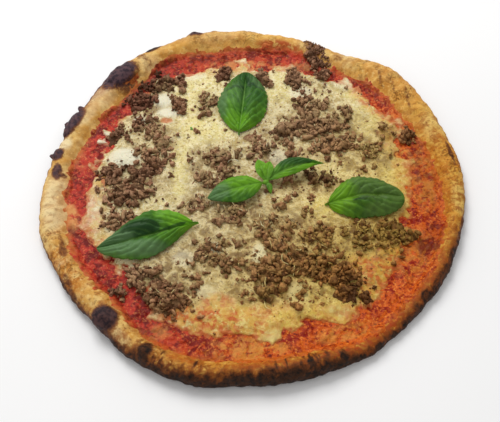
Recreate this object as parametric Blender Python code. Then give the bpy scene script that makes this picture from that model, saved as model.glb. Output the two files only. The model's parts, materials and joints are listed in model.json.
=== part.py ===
"""A bolognese pizza, whole: a hand-stretched crust with a charred and blistered rim, tomato sauce,
melted cheese, heaps of browned mince, three basil leaves and a small basil sprig.

The origin is the middle of the flat underside, +Z is up, and the eater sits at -Y.
Sizes below are in millimetres, and mesh_object turns them into metres.
"""

import math
import random

import bmesh
import bpy
from mathutils import Matrix, Vector, noise

MM = 0.001
TAU = 2 * math.pi

# ---------------------------------------------------------------- driving sizes, in millimetres

DOUGH_FLOOR = 3.5  # top of the thin dough under the toppings
SAUCE_LEVEL = 5.2  # flat top of the sauce, where cheese covers it
CLEARANCE = 0.3  # between pieces that touch
SIDE_CLEARANCE = 0.5  # between a heap and the edge of the layer beside it
BARE_SAUCE_START = 1.5  # how far beyond the cheese the sauce begins to be uneven
BLOCK_BOTTOM = -10.0  # how deep the blocks reach that cut a piece to its bed
BLOCK_TOP = 45.0
BLOCK_REACH = 220.0  # beyond the pizza on every side
SMOOTH_BELOW = 50.0  # degrees between faces, above which an edge is left sharp

# Plan sizes go round the pizza from +X, anticlockwise, at even steps.
RIM_RADIUS = (
    158.0, 158.0, 160.0, 164.0, 155.5, 156.5, 158.5, 163.5, 162.0, 160.5, 153.5, 151.8,
    155.5, 157.0, 154.7, 154.2, 158.5, 160.3, 156.2, 155.5, 154.7, 152.5, 154.3, 154.6,
)  # fmt: skip
RIM_WIDTH = (21, 23, 28, 29, 23, 21, 21, 22, 22, 27, 24, 19, 22, 23, 25, 26, 21, 21, 20, 21, 17, 17, 18, 17)
RIM_HEIGHT = (12, 12, 13, 14, 12, 11, 14, 14, 13, 15, 13, 13, 12, 12, 12, 14, 14, 15, 15, 14, 9, 9, 11, 12)
SAUCE_RADIUS = (
    140, 139, 137, 141, 136, 143, 143, 144, 147, 136, 136, 136,
    139, 138, 139, 137, 143, 142, 141, 140, 147, 144, 145, 144,
)  # fmt: skip
CHEESE_RADIUS = (
    118, 121, 125, 128, 127, 124, 125, 124, 126, 125, 120, 116,
    122, 124, 118, 116, 122, 121, 122, 120, 123, 122, 121, 118,
)  # fmt: skip

# A cut through the rim, from the edge of the flat underside, out round the side and over the
# crest: the share of the rim's width inwards, and the share of its height.
OUTER_PROFILE = (
    (0.40, 0.0),
    (0.16, 0.06),
    (0.04, 0.21),
    (0.0, 0.43),
    (0.04, 0.66),
    (0.13, 0.85),
    (0.25, 0.96),
)
# The inner slope, from the crest to the foot: the height's share is of the rise above the floor.
INNER_PROFILE = ((0.38, 1.0), (0.57, 0.86), (0.78, 0.45), (1.0, 0.0))
RIM_COLUMNS = 64
CHEESE_COLUMNS = 40

# Blisters on the rim: x, y, z of the middle, half-sizes along, across and up, turn in degrees.
BLISTERS = (
    (-104.5, 106.5, 12.5, 14.5, 8.5, 6.0, 44.0),
    (-98.0, -110.0, 10.5, 10.0, 8.0, 6.5, 138.0),
    (-138.0, 57.5, 9.5, 14.0, 6.0, 5.5, 67.0),
    (-145.5, 27.5, 9.0, 6.0, 5.5, 5.0, 80.0),
    (-47.5, 150.5, 10.5, 8.0, 5.0, 5.0, 17.0),
    (-68.5, -136.0, 9.5, 6.5, 6.0, 5.5, 63.0),
)
# Burnt flaps of burst blisters that stand out of the edge: where on the rim, and which way it
# points, in degrees, then its height, how far it stands out, and its half-width.
BURNT_FLAPS = (
    (151.5, 140.0, 8.5, 3.0, 3.0),
    (158.0, 165.0, 8.5, 5.0, 4.5),
    (169.5, 185.0, 8.0, 3.0, 2.8),
)
FLAP_ROOT_DEPTH = 4.5

# Soft lumps of white cheese: x, y, half-sizes in x and y, rise.
CHEESE_LUMPS = (
    (-97, 26, 14, 9, 1.8),
    (-116, 48, 9, 8, 1.6),
    (-70, 82, 9, 7, 1.5),
    (-67, 69, 8, 6, 1.3),
    (5, -58, 6, 9, 1.5),
    (-27, -54, 6, 6, 1.2),
    (30, -92, 10, 14, 1.2),
    (12, -118, 7, 9, 1.2),
    (56, -103, 8, 5, 1.2),
)

# Mince, heap by heap. Each handful in a heap: x, y, half-length, half-width, turn in degrees, rise.
MINCE_HEAPS = {
    "mince_north_west": ((-69, 101, 23, 10, 10, 5.0), (-88, 83, 14, 15, 0, 6.0)),
    "mince_north_west_crumb": ((-57, 78, 6, 7, 0, 5.0),),
    "mince_by_north_leaf": ((-37, 80, 10, 12, 0, 4.5),),
    "mince_west_outer": ((-104, 48, 11, 10, -15, 5.5),),
    "mince_west": (
        (-84, 58, 9, 9, 0, 5.5),
        (-71, 46, 13, 11, 0, 5.0),
        (-74, 27, 13, 17, 0, 5.0),
        (-94, 10, 25, 12, 2, 5.5),
        (-89, -8, 20, 11, 0, 5.0),
    ),
    "mince_west_lower": ((-96, -30, 12, 10, 20, 5.0),),
    "mince_centre_west": ((-24, 28, 15, 11, -20, 4.5), (-26, 10, 18, 12, 0, 4.0)),
    "mince_north": ((-21, 112, 9, 8, 0, 5.0),),
    "mince_north_inner": ((10, 107, 7, 12, 10, 5.0),),
    "mince_north_east_inner": ((34, 106, 8, 12, 8, 5.0),),
    "mince_on_rim": ((57, 114, 8, 8, 0, 5.0), (54, 123, 8, 9, 0, 5.5), (50, 132, 7, 9, 0, 5.0)),
    "mince_north_east_small": ((65, 98, 10, 6, -10, 4.0),),
    "mince_north_east": (
        (44, 75, 13, 14, 0, 5.0),
        (71, 68, 7, 11, 0, 5.5),
        (25, 53, 14, 9, 0, 5.0),
        (53, 56, 24, 13, 0, 5.0),
        (63, 39, 17, 10, 8, 4.5),
    ),
    "mince_north_of_sprig": ((7, 37, 10, 10, 0, 4.5),),
    "mince_east_cheesy": ((93, 31, 12, 12, 0, 3.5),),
    "mince_east_small": ((103, 55, 8, 5, 0, 3.5),),
    "mince_east_edge": ((121, 48, 8, 9, 0, 5.0),),
    "mince_east_of_sprig": ((50, 6, 12, 7, -10, 4.5),),
    "mince_under_east_leaf": ((87, -39, 25, 13, 0, 4.0), (108, -43, 10, 9, 0, 4.5)),
    "mince_west_of_sprig": ((-41, -14, 12, 6, 0, 4.0),),
    "mince_south_of_sprig": ((-16, -25, 14, 8, 15, 4.0),),
    "mince_south": (
        (13, -39, 18, 13, 0, 4.5),
        (20, -52, 14, 9, 0, 4.5),
        (46, -43, 12, 14, 0, 4.0),
        (32, -60, 22, 12, 10, 5.0),
        (19, -73, 24, 12, 0, 5.0),
        (56, -74, 19, 13, -15, 5.5),
        (67, -89, 16, 9, -20, 5.5),
        (10, -89, 13, 10, 0, 5.5),
    ),
    "mince_south_middle": ((-32, -57, 10, 10, 0, 4.5), (-18, -64, 14, 9, 0, 4.5)),
    "mince_south_west": ((-74, -77, 13, 13, 0, 5.0), (-57, -93, 22, 14, -20, 6.0)),
    "mince_south_west_edge": ((-93, -89, 10, 4, 0, 3.5),),
}
HANDFUL_SINK = 0.35  # share of a handful's rise that lies below its bed
SMALL_HANDFUL = 190  # half-length times half-width, in square millimetres, below which its core is plain
PLAIN_CORE_SWELL = 1.15  # makes up for a plain core's flat sides
CRUMB_RADIUS = (2.5, 4.0)
CRUMB_SPACING = 15.0
LOOSE_CRUMBS = 13  # single crumbs baked onto the cheese
LOOSE_CRUMB_REACH = 100.0
LOOSE_CRUMB_SEED = 41
GOLDEN_SHARE = 0.6180339  # steps of this share of a whole never fall together
GOLDEN_ANGLE = 2.3999632  # and turns of this angle spread points evenly
LOOSE_CRUMB_RADIUS = (1.7, 2.5)
HEAP_MARGIN = 6.5  # from a loose crumb to the nearest heap
LEAF_MARGIN = 1.25  # from a leaf's rib, in half-widths of that leaf

LEAF_THICKNESS = 0.7
STEM_HALF_WIDTH = 0.8
LEAF_GRID = (9, 6)  # rows along a leaf, columns across it
LEAFLET_GRID = (6, 4)
LEAF_LIFT = 0.6  # least height of a leaf's underside above the cheese
# Single leaves: stem end, tip, width, the share along where it is fullest, sideways bow, heights
# of the rib at its stem end, middle and tip, then the crest and margin of its left and of its
# right cheek, above the rib.
LEAVES = {
    "basil_leaf_north": ((-11, 47), (-6, 111), 39, 0.50, -1.0, (9.0, 13.0, 11.5), (2.6, -2.5), (2.4, -3.5)),
    "basil_leaf_east": ((54, -18), (114, -9), 38, 0.50, 2.0, (9.0, 12.5, 11.5), (2.6, -3.0), (2.4, -3.5)),
    "basil_leaf_south_west": ((-39, -34), (-110, -57), 31, 0.42, 2.5, (9.5, 12.0, 11.0), (2.5, -2.5), (5.5, 6.5)),
}
# The sprig's leaflets, in the same way.
SPRIG_MIDDLE = (10, 0, 11.4)
SPRIG_MIDDLE_SIZE = (3.6, 3.2, 2.6)
SPRIG = (
    ((9, 0), (-34, -12), 22, 0.45, -0.5, (12.2, 13.5, 11.5), (1.6, -0.6), (1.4, -0.8)),
    ((10, 1), (54, 16), 13, 0.45, 4.0, (12.2, 15.5, 13.5), (2.0, 2.5), (1.5, 0.5)),
    ((10, 1), (8, 18), 11, 0.50, 0.0, (12.2, 15.0, 16.0), (0.8, 1.2), (0.8, 1.2)),
    ((10, 0), (17, -10), 6, 0.45, 0.5, (12.2, 11.5, 9.5), (0.5, 0.3), (0.5, 0.3)),
)

# ---------------------------------------------------------------- meshes and joins


def material(name, colour, roughness):
    made = bpy.data.materials.new(name)
    made.use_nodes = True
    shader = made.node_tree.nodes["Principled BSDF"]
    shader.inputs["Base Color"].default_value = (*colour, 1.0)
    shader.inputs["Roughness"].default_value = roughness
    shader.inputs["Metallic"].default_value = 0.0
    return made


def mesh_object(name, points_mm, faces, finish):
    """An object with its origin at the pizza's origin, from points in millimetres."""
    mesh = bpy.data.meshes.new(name)
    mesh.from_pydata([Vector(p) * MM for p in points_mm], [], faces)
    mesh.materials.append(finish)
    made = bpy.data.objects.new(name, mesh)
    bpy.context.scene.collection.objects.link(made)
    return made


def boolean(target, operation, pieces):
    """Joins the pieces to the target or cuts them from it, and removes them."""
    group = bpy.data.collections.new("boolean_pieces")
    for piece in pieces:
        group.objects.link(piece)
    modifier = target.modifiers.new("boolean", "BOOLEAN")
    modifier.operation = operation
    modifier.operand_type = "COLLECTION"
    modifier.collection = group
    modifier.solver = "MANIFOLD"
    graph = bpy.context.evaluated_depsgraph_get()
    joined = bpy.data.meshes.new_from_object(target.evaluated_get(graph))
    target.modifiers.clear()
    old, target.data = target.data, joined
    bpy.data.meshes.remove(old)
    for piece in list(group.objects):
        bpy.data.objects.remove(piece)
    bpy.data.collections.remove(group)


def raised_copy(source, lift_mm):
    """A copy of a solid, raised, to cut whatever lies on it to fit."""
    copy = source.copy()
    copy.data = source.data.copy()
    copy.data.transform(Matrix.Translation((0, 0, lift_mm * MM)))
    return copy


def keep_largest_body(target):
    """Drops the scraps that a cut leaves loose."""
    work = bmesh.new()
    work.from_mesh(target.data)
    unseen = set(work.faces)
    bodies = []
    while unseen:
        body, to_visit = [], [unseen.pop()]
        while to_visit:
            face = to_visit.pop()
            body.append(face)
            near = {other for edge in face.edges for other in edge.link_faces} & unseen
            unseen -= near
            to_visit.extend(near)
        bodies.append(body)
    bodies.sort(key=len)
    bmesh.ops.delete(work, geom=[face for body in bodies[:-1] for face in body], context="FACES")
    work.to_mesh(target.data)
    work.free()


def lump(name, middle, radii, turn, faces_level, finish, seed=None):
    """A ball squashed to its three half-sizes, turned about +Z; a seed makes it uneven."""
    work = bmesh.new()
    bmesh.ops.create_icosphere(work, subdivisions=faces_level, radius=1.0)
    if seed is not None:
        chance = random.Random(seed)
        spin = Matrix.Rotation(chance.uniform(0, TAU), 3, Vector((chance.random(), chance.random(), 1)))
        bmesh.ops.transform(work, matrix=spin.to_4x4(), verts=work.verts)
        for vert in work.verts:
            vert.co *= chance.uniform(0.82, 1.15)
    place = Matrix.Translation(Vector(middle) * MM) @ Matrix.Rotation(turn, 4, "Z")
    size = Matrix.Diagonal((radii[0] * MM, radii[1] * MM, radii[2] * MM, 1.0))
    bmesh.ops.transform(work, matrix=place @ size, verts=work.verts)
    mesh = bpy.data.meshes.new(name)
    work.to_mesh(mesh)
    work.free()
    mesh.materials.append(finish)
    return bpy.data.objects.new(name, mesh)


# ---------------------------------------------------------------- shape rules, all in millimetres


def around(values, angle):
    """A smooth closed curve through values given at even steps round the pizza."""
    count = len(values)
    place = angle / TAU % 1.0 * count
    first = int(place)
    t = place - first
    a, b, c, d = (values[(first + k) % count] for k in (-1, 0, 1, 2))
    return b + 0.5 * t * (c - a + t * (2 * a - 5 * b + 4 * c - d + t * (3 * (b - c) + d - a)))


def smooth_step(low, high, value):
    t = min(1.0, max(0.0, (value - low) / (high - low)))
    return t * t * (3 - 2 * t)


def waves(x, y, length, seed):
    """Smooth unevenness from -1 to 1, with bumps about length across."""
    return noise.noise(Vector((x / length, y / length, seed)))


def rim_unevenness(angle, size, seed):
    """Unevenness that runs round the rim and meets itself."""
    return size * noise.noise(Vector((9 * math.cos(angle), 9 * math.sin(angle), seed)))


def rim_radius(angle):
    return around(RIM_RADIUS, angle) + rim_unevenness(angle, 0.8, 1.5)


def rim_height(angle):
    return around(RIM_HEIGHT, angle) + rim_unevenness(angle, 1.3, 4.5)


def sauce_radius(angle):
    """The sauce's edge, which climbs the rim but not over its crest."""
    crest = rim_radius(angle) - INNER_PROFILE[0][0] * around(RIM_WIDTH, angle)
    return min(around(SAUCE_RADIUS, angle) + rim_unevenness(angle, 1.6, 8.5), crest - 1.5)


def cheese_radius(angle):
    return around(CHEESE_RADIUS, angle) + rim_unevenness(angle, 3.0, 3.5)


def crust_top(x, y):
    """Height of the crust's upper face, from the crest of the rim inwards."""
    angle = math.atan2(y, x)
    inwards = (rim_radius(angle) - math.hypot(x, y)) / around(RIM_WIDTH, angle)
    rise = rim_height(angle) - DOUGH_FLOOR
    steps = ((0.0, 0.5), *INNER_PROFILE)
    for (near, high), (far, low) in zip(steps, steps[1:]):
        if inwards < far:
            return DOUGH_FLOOR + rise * (high + (low - high) * (inwards - near) / (far - near))
    return DOUGH_FLOOR


def sauce_top(x, y):
    """Flat where cheese covers it, uneven in the open ring, and drawn up the slope of the rim."""
    angle, radius = math.atan2(y, x), math.hypot(x, y)
    edge = cheese_radius(angle) + BARE_SAUCE_START
    open_share = smooth_step(edge, edge + 8.0, radius)
    pool = SAUCE_LEVEL + open_share * (0.7 + 0.9 * waves(x, y, 12.0, 2.5))
    film = 1.5 - 0.5 * smooth_step(0.9, 1.0, radius / sauce_radius(angle))
    return pool if open_share == 0.0 else max(pool, crust_top(x, y) + film)


def cheese_top(x, y):
    """Melted cheese: thin at its edge, gently uneven, with soft lumps."""
    angle, radius = math.atan2(y, x), math.hypot(x, y)
    thickness = 2.3 + 0.9 * waves(x, y, 26.0, 7.5)
    for lump_x, lump_y, half_x, half_y, rise in CHEESE_LUMPS:
        away = ((x - lump_x) / half_x) ** 2 + ((y - lump_y) / half_y) ** 2
        thickness += rise * math.exp(-1.6 * away * away)
    taper = 0.35 + 0.65 * smooth_step(0.0, 12.0, cheese_radius(angle) - radius)
    return SAUCE_LEVEL + CLEARANCE + thickness * taper


# ---------------------------------------------------------------- crust, sauce and cheese


def ring_solid(name, rings, finish):
    """A closed solid from rings of points, with a fan of triangles over its first and last ring."""
    columns = len(rings[0])
    points = [p for ring in rings for p in ring]
    points += [(0.0, 0.0, sum(p[2] for p in ring) / columns) for ring in (rings[0], rings[-1])]
    bottom, top, last = len(points) - 2, len(points) - 1, (len(rings) - 1) * columns
    faces = []
    for i in range(columns):
        j = (i + 1) % columns
        faces += [(j, i, bottom), (last + i, last + j, top)]
        for low in range(0, last, columns):
            high = low + columns
            faces += [(low + i, low + j, high + j), (low + i, high + j, high + i)]
    return mesh_object(name, points, faces, finish)


def crust_ring(inwards, height_at):
    ring = []
    for i in range(RIM_COLUMNS):
        angle = TAU * i / RIM_COLUMNS
        radius = rim_radius(angle) - inwards * around(RIM_WIDTH, angle)
        ring.append((radius * math.cos(angle), radius * math.sin(angle), height_at(angle)))
    return ring


def burnt_flap(place, bearing, height, length, half_width, finish):
    """A thin pointed flap, three-sided, with its wide end sunk in the rim."""
    radius = rim_radius(place) - FLAP_ROOT_DEPTH
    root = Vector((radius * math.cos(place), radius * math.sin(place), height))
    along = Vector((math.cos(bearing), math.sin(bearing), 0.12))
    side = Vector((-math.sin(bearing), math.cos(bearing), 0.0))
    base = (root + side * half_width, root - side * half_width, root + Vector((0, 0, 0.8 * half_width)))
    work = bmesh.new()
    for point in (*base, root + along * (length + FLAP_ROOT_DEPTH)):
        work.verts.new(point * MM)
    bmesh.ops.convex_hull(work, input=work.verts)
    mesh = bpy.data.meshes.new("burnt_flap")
    work.to_mesh(mesh)
    work.free()
    mesh.materials.append(finish)
    return bpy.data.objects.new("burnt_flap", mesh)


def make_crust(finish):
    rings = [crust_ring(t, lambda a, h=h: h * rim_height(a)) for t, h in OUTER_PROFILE]
    for t, h in INNER_PROFILE:
        rings.append(crust_ring(t, lambda a, h=h: DOUGH_FLOOR + h * (rim_height(a) - DOUGH_FLOOR)))
    crust = ring_solid("crust", rings, finish)
    raised = []
    for number, (x, y, z, half_length, half_width, half_height, turn) in enumerate(BLISTERS):
        size = (half_length, half_width, half_height)
        raised.append(lump("blister", (x, y, z), size, math.radians(turn), 2, finish, seed=number))
    for place, bearing, *sizes in BURNT_FLAPS:
        raised.append(burnt_flap(math.radians(place), math.radians(bearing), *sizes, finish))
    boolean(crust, "UNION", raised)
    return crust


def slab(name, radii, columns, top_at, bottom, finish):
    """A layer with a flat underside, whose top follows top_at through rings at the given radii."""

    def ring(radius_at, height_at):
        points = []
        for i in range(columns):
            angle = TAU * i / columns
            x, y = radius_at(angle) * math.cos(angle), radius_at(angle) * math.sin(angle)
            points.append((x, y, height_at(x, y)))
        return points

    rings = [ring(radii[0], lambda x, y: bottom)]
    rings += [ring(radius_at, top_at) for radius_at in radii]
    return ring_solid(name, rings, finish)


def make_sauce(crust, finish):
    """Returns the sauce, and the block below its top that cuts what lies on it."""
    made = []
    for name, grown in (("sauce", 0.0), ("sauce_block", SIDE_CLEARANCE)):
        radii = (
            lambda a, g=grown: sauce_radius(a) + g,
            lambda a: 0.55 * sauce_radius(a) + 0.45 * (cheese_radius(a) + BARE_SAUCE_START),
            lambda a: cheese_radius(a) + BARE_SAUCE_START,
        )
        made.append(slab(name, radii, RIM_COLUMNS, sauce_top, BLOCK_BOTTOM, finish))
    sauce, block = made
    boolean(sauce, "DIFFERENCE", [raised_copy(crust, CLEARANCE), floor_block(finish)])
    keep_largest_body(sauce)
    return sauce, block


def floor_block(finish):
    """Everything below the middle of the dough, so that a cut leaves nothing under the crust."""
    corners = [(x, y, z) for z in (2 * BLOCK_BOTTOM, 0.5 * DOUGH_FLOOR) for x, y in plan_square(BLOCK_REACH)]
    faces = [(3, 2, 1, 0), (4, 5, 6, 7), *((i, (i + 1) % 4, 4 + (i + 1) % 4, 4 + i) for i in range(4))]
    return mesh_object("floor_block", corners, faces, finish)


def plan_square(half):
    return ((-half, -half), (half, -half), (half, half), (-half, half))


def make_cheese(finish):
    """Returns the cheese, and the block below its top that cuts what lies on it."""
    shares = (0.94, 0.80, 0.62, 0.42, 0.20)
    inner = [lambda a, share=share: share * cheese_radius(a) for share in shares]
    layer = [cheese_radius, *inner]
    block = [lambda a: cheese_radius(a) + SIDE_CLEARANCE, *inner]
    return (
        slab("cheese", layer, CHEESE_COLUMNS, cheese_top, SAUCE_LEVEL + CLEARANCE, finish),
        slab("cheese_block", block, CHEESE_COLUMNS, cheese_top, BLOCK_BOTTOM, finish),
    )


def far_from_heaps(x, y, margin):
    for heap in MINCE_HEAPS.values():
        for heap_x, heap_y, half_length, half_width, turn, _ in heap:
            u, v = turned(x - heap_x, y - heap_y, -math.radians(turn))
            if (u / (half_length + margin)) ** 2 + (v / (half_width + margin)) ** 2 < 1:
                return False
    return True


def turned(x, y, angle):
    return x * math.cos(angle) - y * math.sin(angle), x * math.sin(angle) + y * math.cos(angle)


def leaf_distance(x, y):
    """How far a point is from the nearest leaf's rib, as a share of that leaf's half-width."""
    shares = []
    for stem, tip, width, *_ in (*LEAVES.values(), *SPRIG):
        rib = Vector(tip) - Vector(stem)
        along = max(0.0, min(1.0, (Vector((x, y)) - Vector(stem)).dot(rib) / rib.length_squared))
        shares.append((Vector((x, y)) - Vector(stem) - along * rib).length / (width / 2))
    return min(shares)


def fuse_loose_crumbs(cheese, finish):
    """Single small crumbs, spread evenly over the open cheese and baked onto it."""
    chance = random.Random(LOOSE_CRUMB_SEED)
    crumbs = []
    places = 0
    while len(crumbs) < LOOSE_CRUMBS:
        places += 1
        radius = LOOSE_CRUMB_REACH * math.sqrt(places * GOLDEN_SHARE % 1.0)
        angle = places * GOLDEN_ANGLE + 0.4
        x, y = radius * math.cos(angle), radius * math.sin(angle)
        if not far_from_heaps(x, y, HEAP_MARGIN) or leaf_distance(x, y) < LEAF_MARGIN:
            continue
        size = chance.uniform(*LOOSE_CRUMB_RADIUS)
        middle = (x, y, cheese_top(x, y) + 0.35 * size)
        crumbs.append(lump("loose_crumb", middle, (size, size, size), 0.0, 1, finish, seed=places))
    boolean(cheese, "UNION", crumbs)
    keep_largest_body(cheese)


# ---------------------------------------------------------------- basil


def leaf_half_width(share, width, fullest):
    """Egg-shaped outline with a narrow stem end and a pointed tip."""
    swell = max(0.0, math.sin(math.pi * share ** (math.log(0.5) / math.log(fullest)))) ** 0.72
    return 0.5 * width * swell + STEM_HALF_WIDTH * (1 - 0.5 * share)


def leaf_rib(share, stem, tip, bow, heights):
    """A point on the rib: a shallow arc in plan, and a curve through three heights."""
    along = Vector(tip) - Vector(stem)
    side = Vector((-along.y, along.x)).normalized()
    place = Vector(stem) + along * share + side * bow * math.sin(math.pi * share)
    low, middle, high = heights
    height = low + share * (4 * middle - 3 * low - high) + share**2 * (2 * low + 2 * high - 4 * middle)
    return Vector((place.x, place.y, height)), side


def cheek_height(across, cheek):
    """Height above the rib at a share across: up over the crest, then to the margin."""
    crest, margin = cheek
    rise = (crest - 0.3025 * margin) / 0.2475
    return across * rise + across**2 * (margin - rise)


def leaf_point(share, across, leaf, grown):
    """A point on a leaf's underside; across runs from -1 at the right margin to 1 at the left."""
    stem, tip, width, fullest, bow, heights, left, right = leaf
    stretched = share + (2 * share - 1) * grown / math.dist(stem, tip)
    rib, side = leaf_rib(stretched, stem, tip, bow, heights)
    x, y = Vector((rib.x, rib.y)) + side * across * (leaf_half_width(share, width, fullest) + grown)
    fade = max(0.0, math.sin(math.pi * share)) ** 0.6
    height = rib.z + fade * cheek_height(abs(across), left if across > 0 else right)
    height += 0.10 * width / 10 * fade * abs(across) * math.sin(5 * math.pi * share + 2 * across)
    return x, y, max(height, cheese_top(x, y) + LEAF_LIFT)


def leaf_solid(name, leaf, grid, finish, clear=0.0, top=None):
    """A thin wavy leaf, or, with a top, the block of space from just below it and round it."""
    rows, columns = grid
    points = []
    for layer in (0, 1):
        for row in range(rows + 1):
            share = row / rows - 0.10 * math.sin(TAU * row / rows)  # closer rows round off the ends
            for column in range(columns + 1):
                across = 2 * column / columns - 1
                x, y, z = leaf_point(share, across, leaf, clear)
                edge = LEAF_THICKNESS * (1.0 - 0.35 * across**2)
                points.append((x, y, (z - clear) if layer == 0 else (top or z + edge)))
    wide, layer_size = columns + 1, (columns + 1) * (rows + 1)
    faces = []
    for row in range(rows):
        for column in range(columns):
            a, b = row * wide + column, row * wide + column + 1
            c, d = b + wide, a + wide
            faces += [(a, b, c), (a, c, d)]
            faces += [(layer_size + a, layer_size + c, layer_size + b)]
            faces += [(layer_size + a, layer_size + d, layer_size + c)]
    rim = list(range(wide))
    rim += [r * wide + columns for r in range(1, rows + 1)]
    rim += [rows * wide + c for c in range(columns - 1, -1, -1)]
    rim += [r * wide for r in range(rows - 1, 0, -1)]
    for a, b in zip(rim, rim[1:] + rim[:1]):
        faces.append((b, a, layer_size + a, layer_size + b))
    made = mesh_object(name, points, faces, finish)
    work = bmesh.new()
    work.from_mesh(made.data)
    bmesh.ops.recalc_face_normals(work, faces=work.faces)
    work.to_mesh(made.data)
    work.free()
    return made


def make_basil(finish):
    for name, leaf in LEAVES.items():
        leaf_solid(name, leaf, LEAF_GRID, finish)
    sprig = lump("basil_sprig", SPRIG_MIDDLE, SPRIG_MIDDLE_SIZE, 0.0, 1, finish)
    bpy.context.scene.collection.objects.link(sprig)
    boolean(sprig, "UNION", [leaf_solid("leaflet", leaf, LEAFLET_GRID, finish) for leaf in SPRIG])
    keep_largest_body(sprig)


def leaf_spaces(finish):
    """The blocks of space that the basil takes, to cut the mince below it."""
    spaces = [leaf_solid("space", leaf, LEAF_GRID, finish, CLEARANCE, BLOCK_TOP) for leaf in LEAVES.values()]
    spaces += [leaf_solid("space", leaf, LEAFLET_GRID, finish, CLEARANCE, BLOCK_TOP) for leaf in SPRIG]
    spaces.append(lump("space", SPRIG_MIDDLE, [1.3 * size for size in SPRIG_MIDDLE_SIZE], 0.0, 1, finish))
    return spaces


# ---------------------------------------------------------------- mince


def bed_height(x, y):
    """The top of whatever lies under a piece of mince."""
    angle, radius = math.atan2(y, x), math.hypot(x, y)
    if radius < cheese_radius(angle):
        return cheese_top(x, y)
    if radius < sauce_radius(angle):
        return sauce_top(x, y)
    return crust_top(x, y)


def handful_crumbs(handful, number, finish):
    """Crumbs spread evenly over a handful, on a sunflower spiral with a little chance."""
    x, y, half_length, half_width, turn, rise = handful
    chance = random.Random(number)
    count = max(2, round(math.pi * half_length * half_width / CRUMB_SPACING**2))
    crumbs = []
    for k in range(count):
        radius = math.sqrt((k + 0.6) / count) * chance.uniform(0.8, 0.92)
        angle = k * GOLDEN_ANGLE + number
        along, across = half_length * radius * math.cos(angle), half_width * radius * math.sin(angle)
        u, v = turned(along, across, math.radians(turn))
        size = chance.uniform(*CRUMB_RADIUS)
        dome = rise * math.sqrt(max(0.05, 1 - radius**2))
        middle = (x + u, y + v, bed_height(x + u, y + v) + max(0.75 * dome, 0.3 * size))
        shape = (size, size * chance.uniform(0.8, 1.1), size * chance.uniform(0.7, 0.95))
        spin = chance.uniform(0, TAU)
        crumbs.append(lump("crumb", middle, shape, spin, 1, finish, seed=number * 50 + k))
    return crumbs


def make_mince(name, heap, number, blocks, finish):
    """One heap: its handfuls and crumbs joined, then cut to lie clear of everything under and over it."""
    pieces = []
    for i, (x, y, half_length, half_width, turn, rise) in enumerate(heap):
        middle = (x, y, bed_height(x, y) - HANDFUL_SINK * rise)
        size = (half_length, half_width, rise * (1 + HANDFUL_SINK))
        detail = 2
        if half_length * half_width < SMALL_HANDFUL:
            detail = 1
            size = [PLAIN_CORE_SWELL * half_size for half_size in size]
        pieces.append(lump("handful", middle, size, math.radians(turn), detail, finish, seed=number * 7 + i))
        pieces += handful_crumbs(heap[i], number * 20 + i, finish)
    made = pieces.pop(0)
    made.name = name
    made.data.name = name
    bpy.context.scene.collection.objects.link(made)
    boolean(made, "UNION", pieces)
    cutters = [raised_copy(block, CLEARANCE) for block in blocks] + leaf_spaces(finish)
    boolean(made, "DIFFERENCE", [*cutters, floor_block(finish)])
    keep_largest_body(made)


# ---------------------------------------------------------------- the pizza


def clear_scene():
    for thing in list(bpy.data.objects):
        bpy.data.objects.remove(thing)


def main():
    clear_scene()
    dough = material("baked_dough", (0.72, 0.47, 0.20), 0.75)
    tomato = material("tomato_sauce", (0.50, 0.06, 0.02), 0.35)
    mozzarella = material("melted_cheese", (0.80, 0.66, 0.36), 0.40)
    meat = material("browned_mince", (0.17, 0.09, 0.05), 0.60)
    green = material("basil", (0.07, 0.20, 0.03), 0.40)

    crust = make_crust(dough)
    _, sauce_block = make_sauce(crust, tomato)
    cheese, cheese_block = make_cheese(mozzarella)
    fuse_loose_crumbs(cheese, mozzarella)
    make_basil(green)
    for number, (name, heap) in enumerate(MINCE_HEAPS.items(), start=1):
        make_mince(name, heap, number, (crust, sauce_block, cheese_block), meat)
    for block in (sauce_block, cheese_block):
        bpy.data.objects.remove(block)
    for piece in bpy.data.objects:
        piece.data.shade_smooth()
        piece.data.set_sharp_from_angle(angle=math.radians(SMOOTH_BELOW))


main()
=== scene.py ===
# %% [markdown]
# # A bolognese pizza, dressed
#
# A hand-stretched pizza is made in the order that a cook makes it: dough first, then sauce,
# cheese, mince and basil. Each layer here is laid over the one below by dropping rays onto it,
# so that nothing floats and nothing has to be placed by eye.
#
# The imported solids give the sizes. The same few driving sizes are repeated below, because each
# layer is made again from the same rules, only with many more points and with a real finish.
# Lengths in this lesson are in millimetres, and one helper turns them into metres.

import json
import math
import random

import bmesh
import bpy
import numpy as np
from mathutils import Euler, Matrix, Vector, noise
from mathutils.bvhtree import BVHTree

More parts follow.
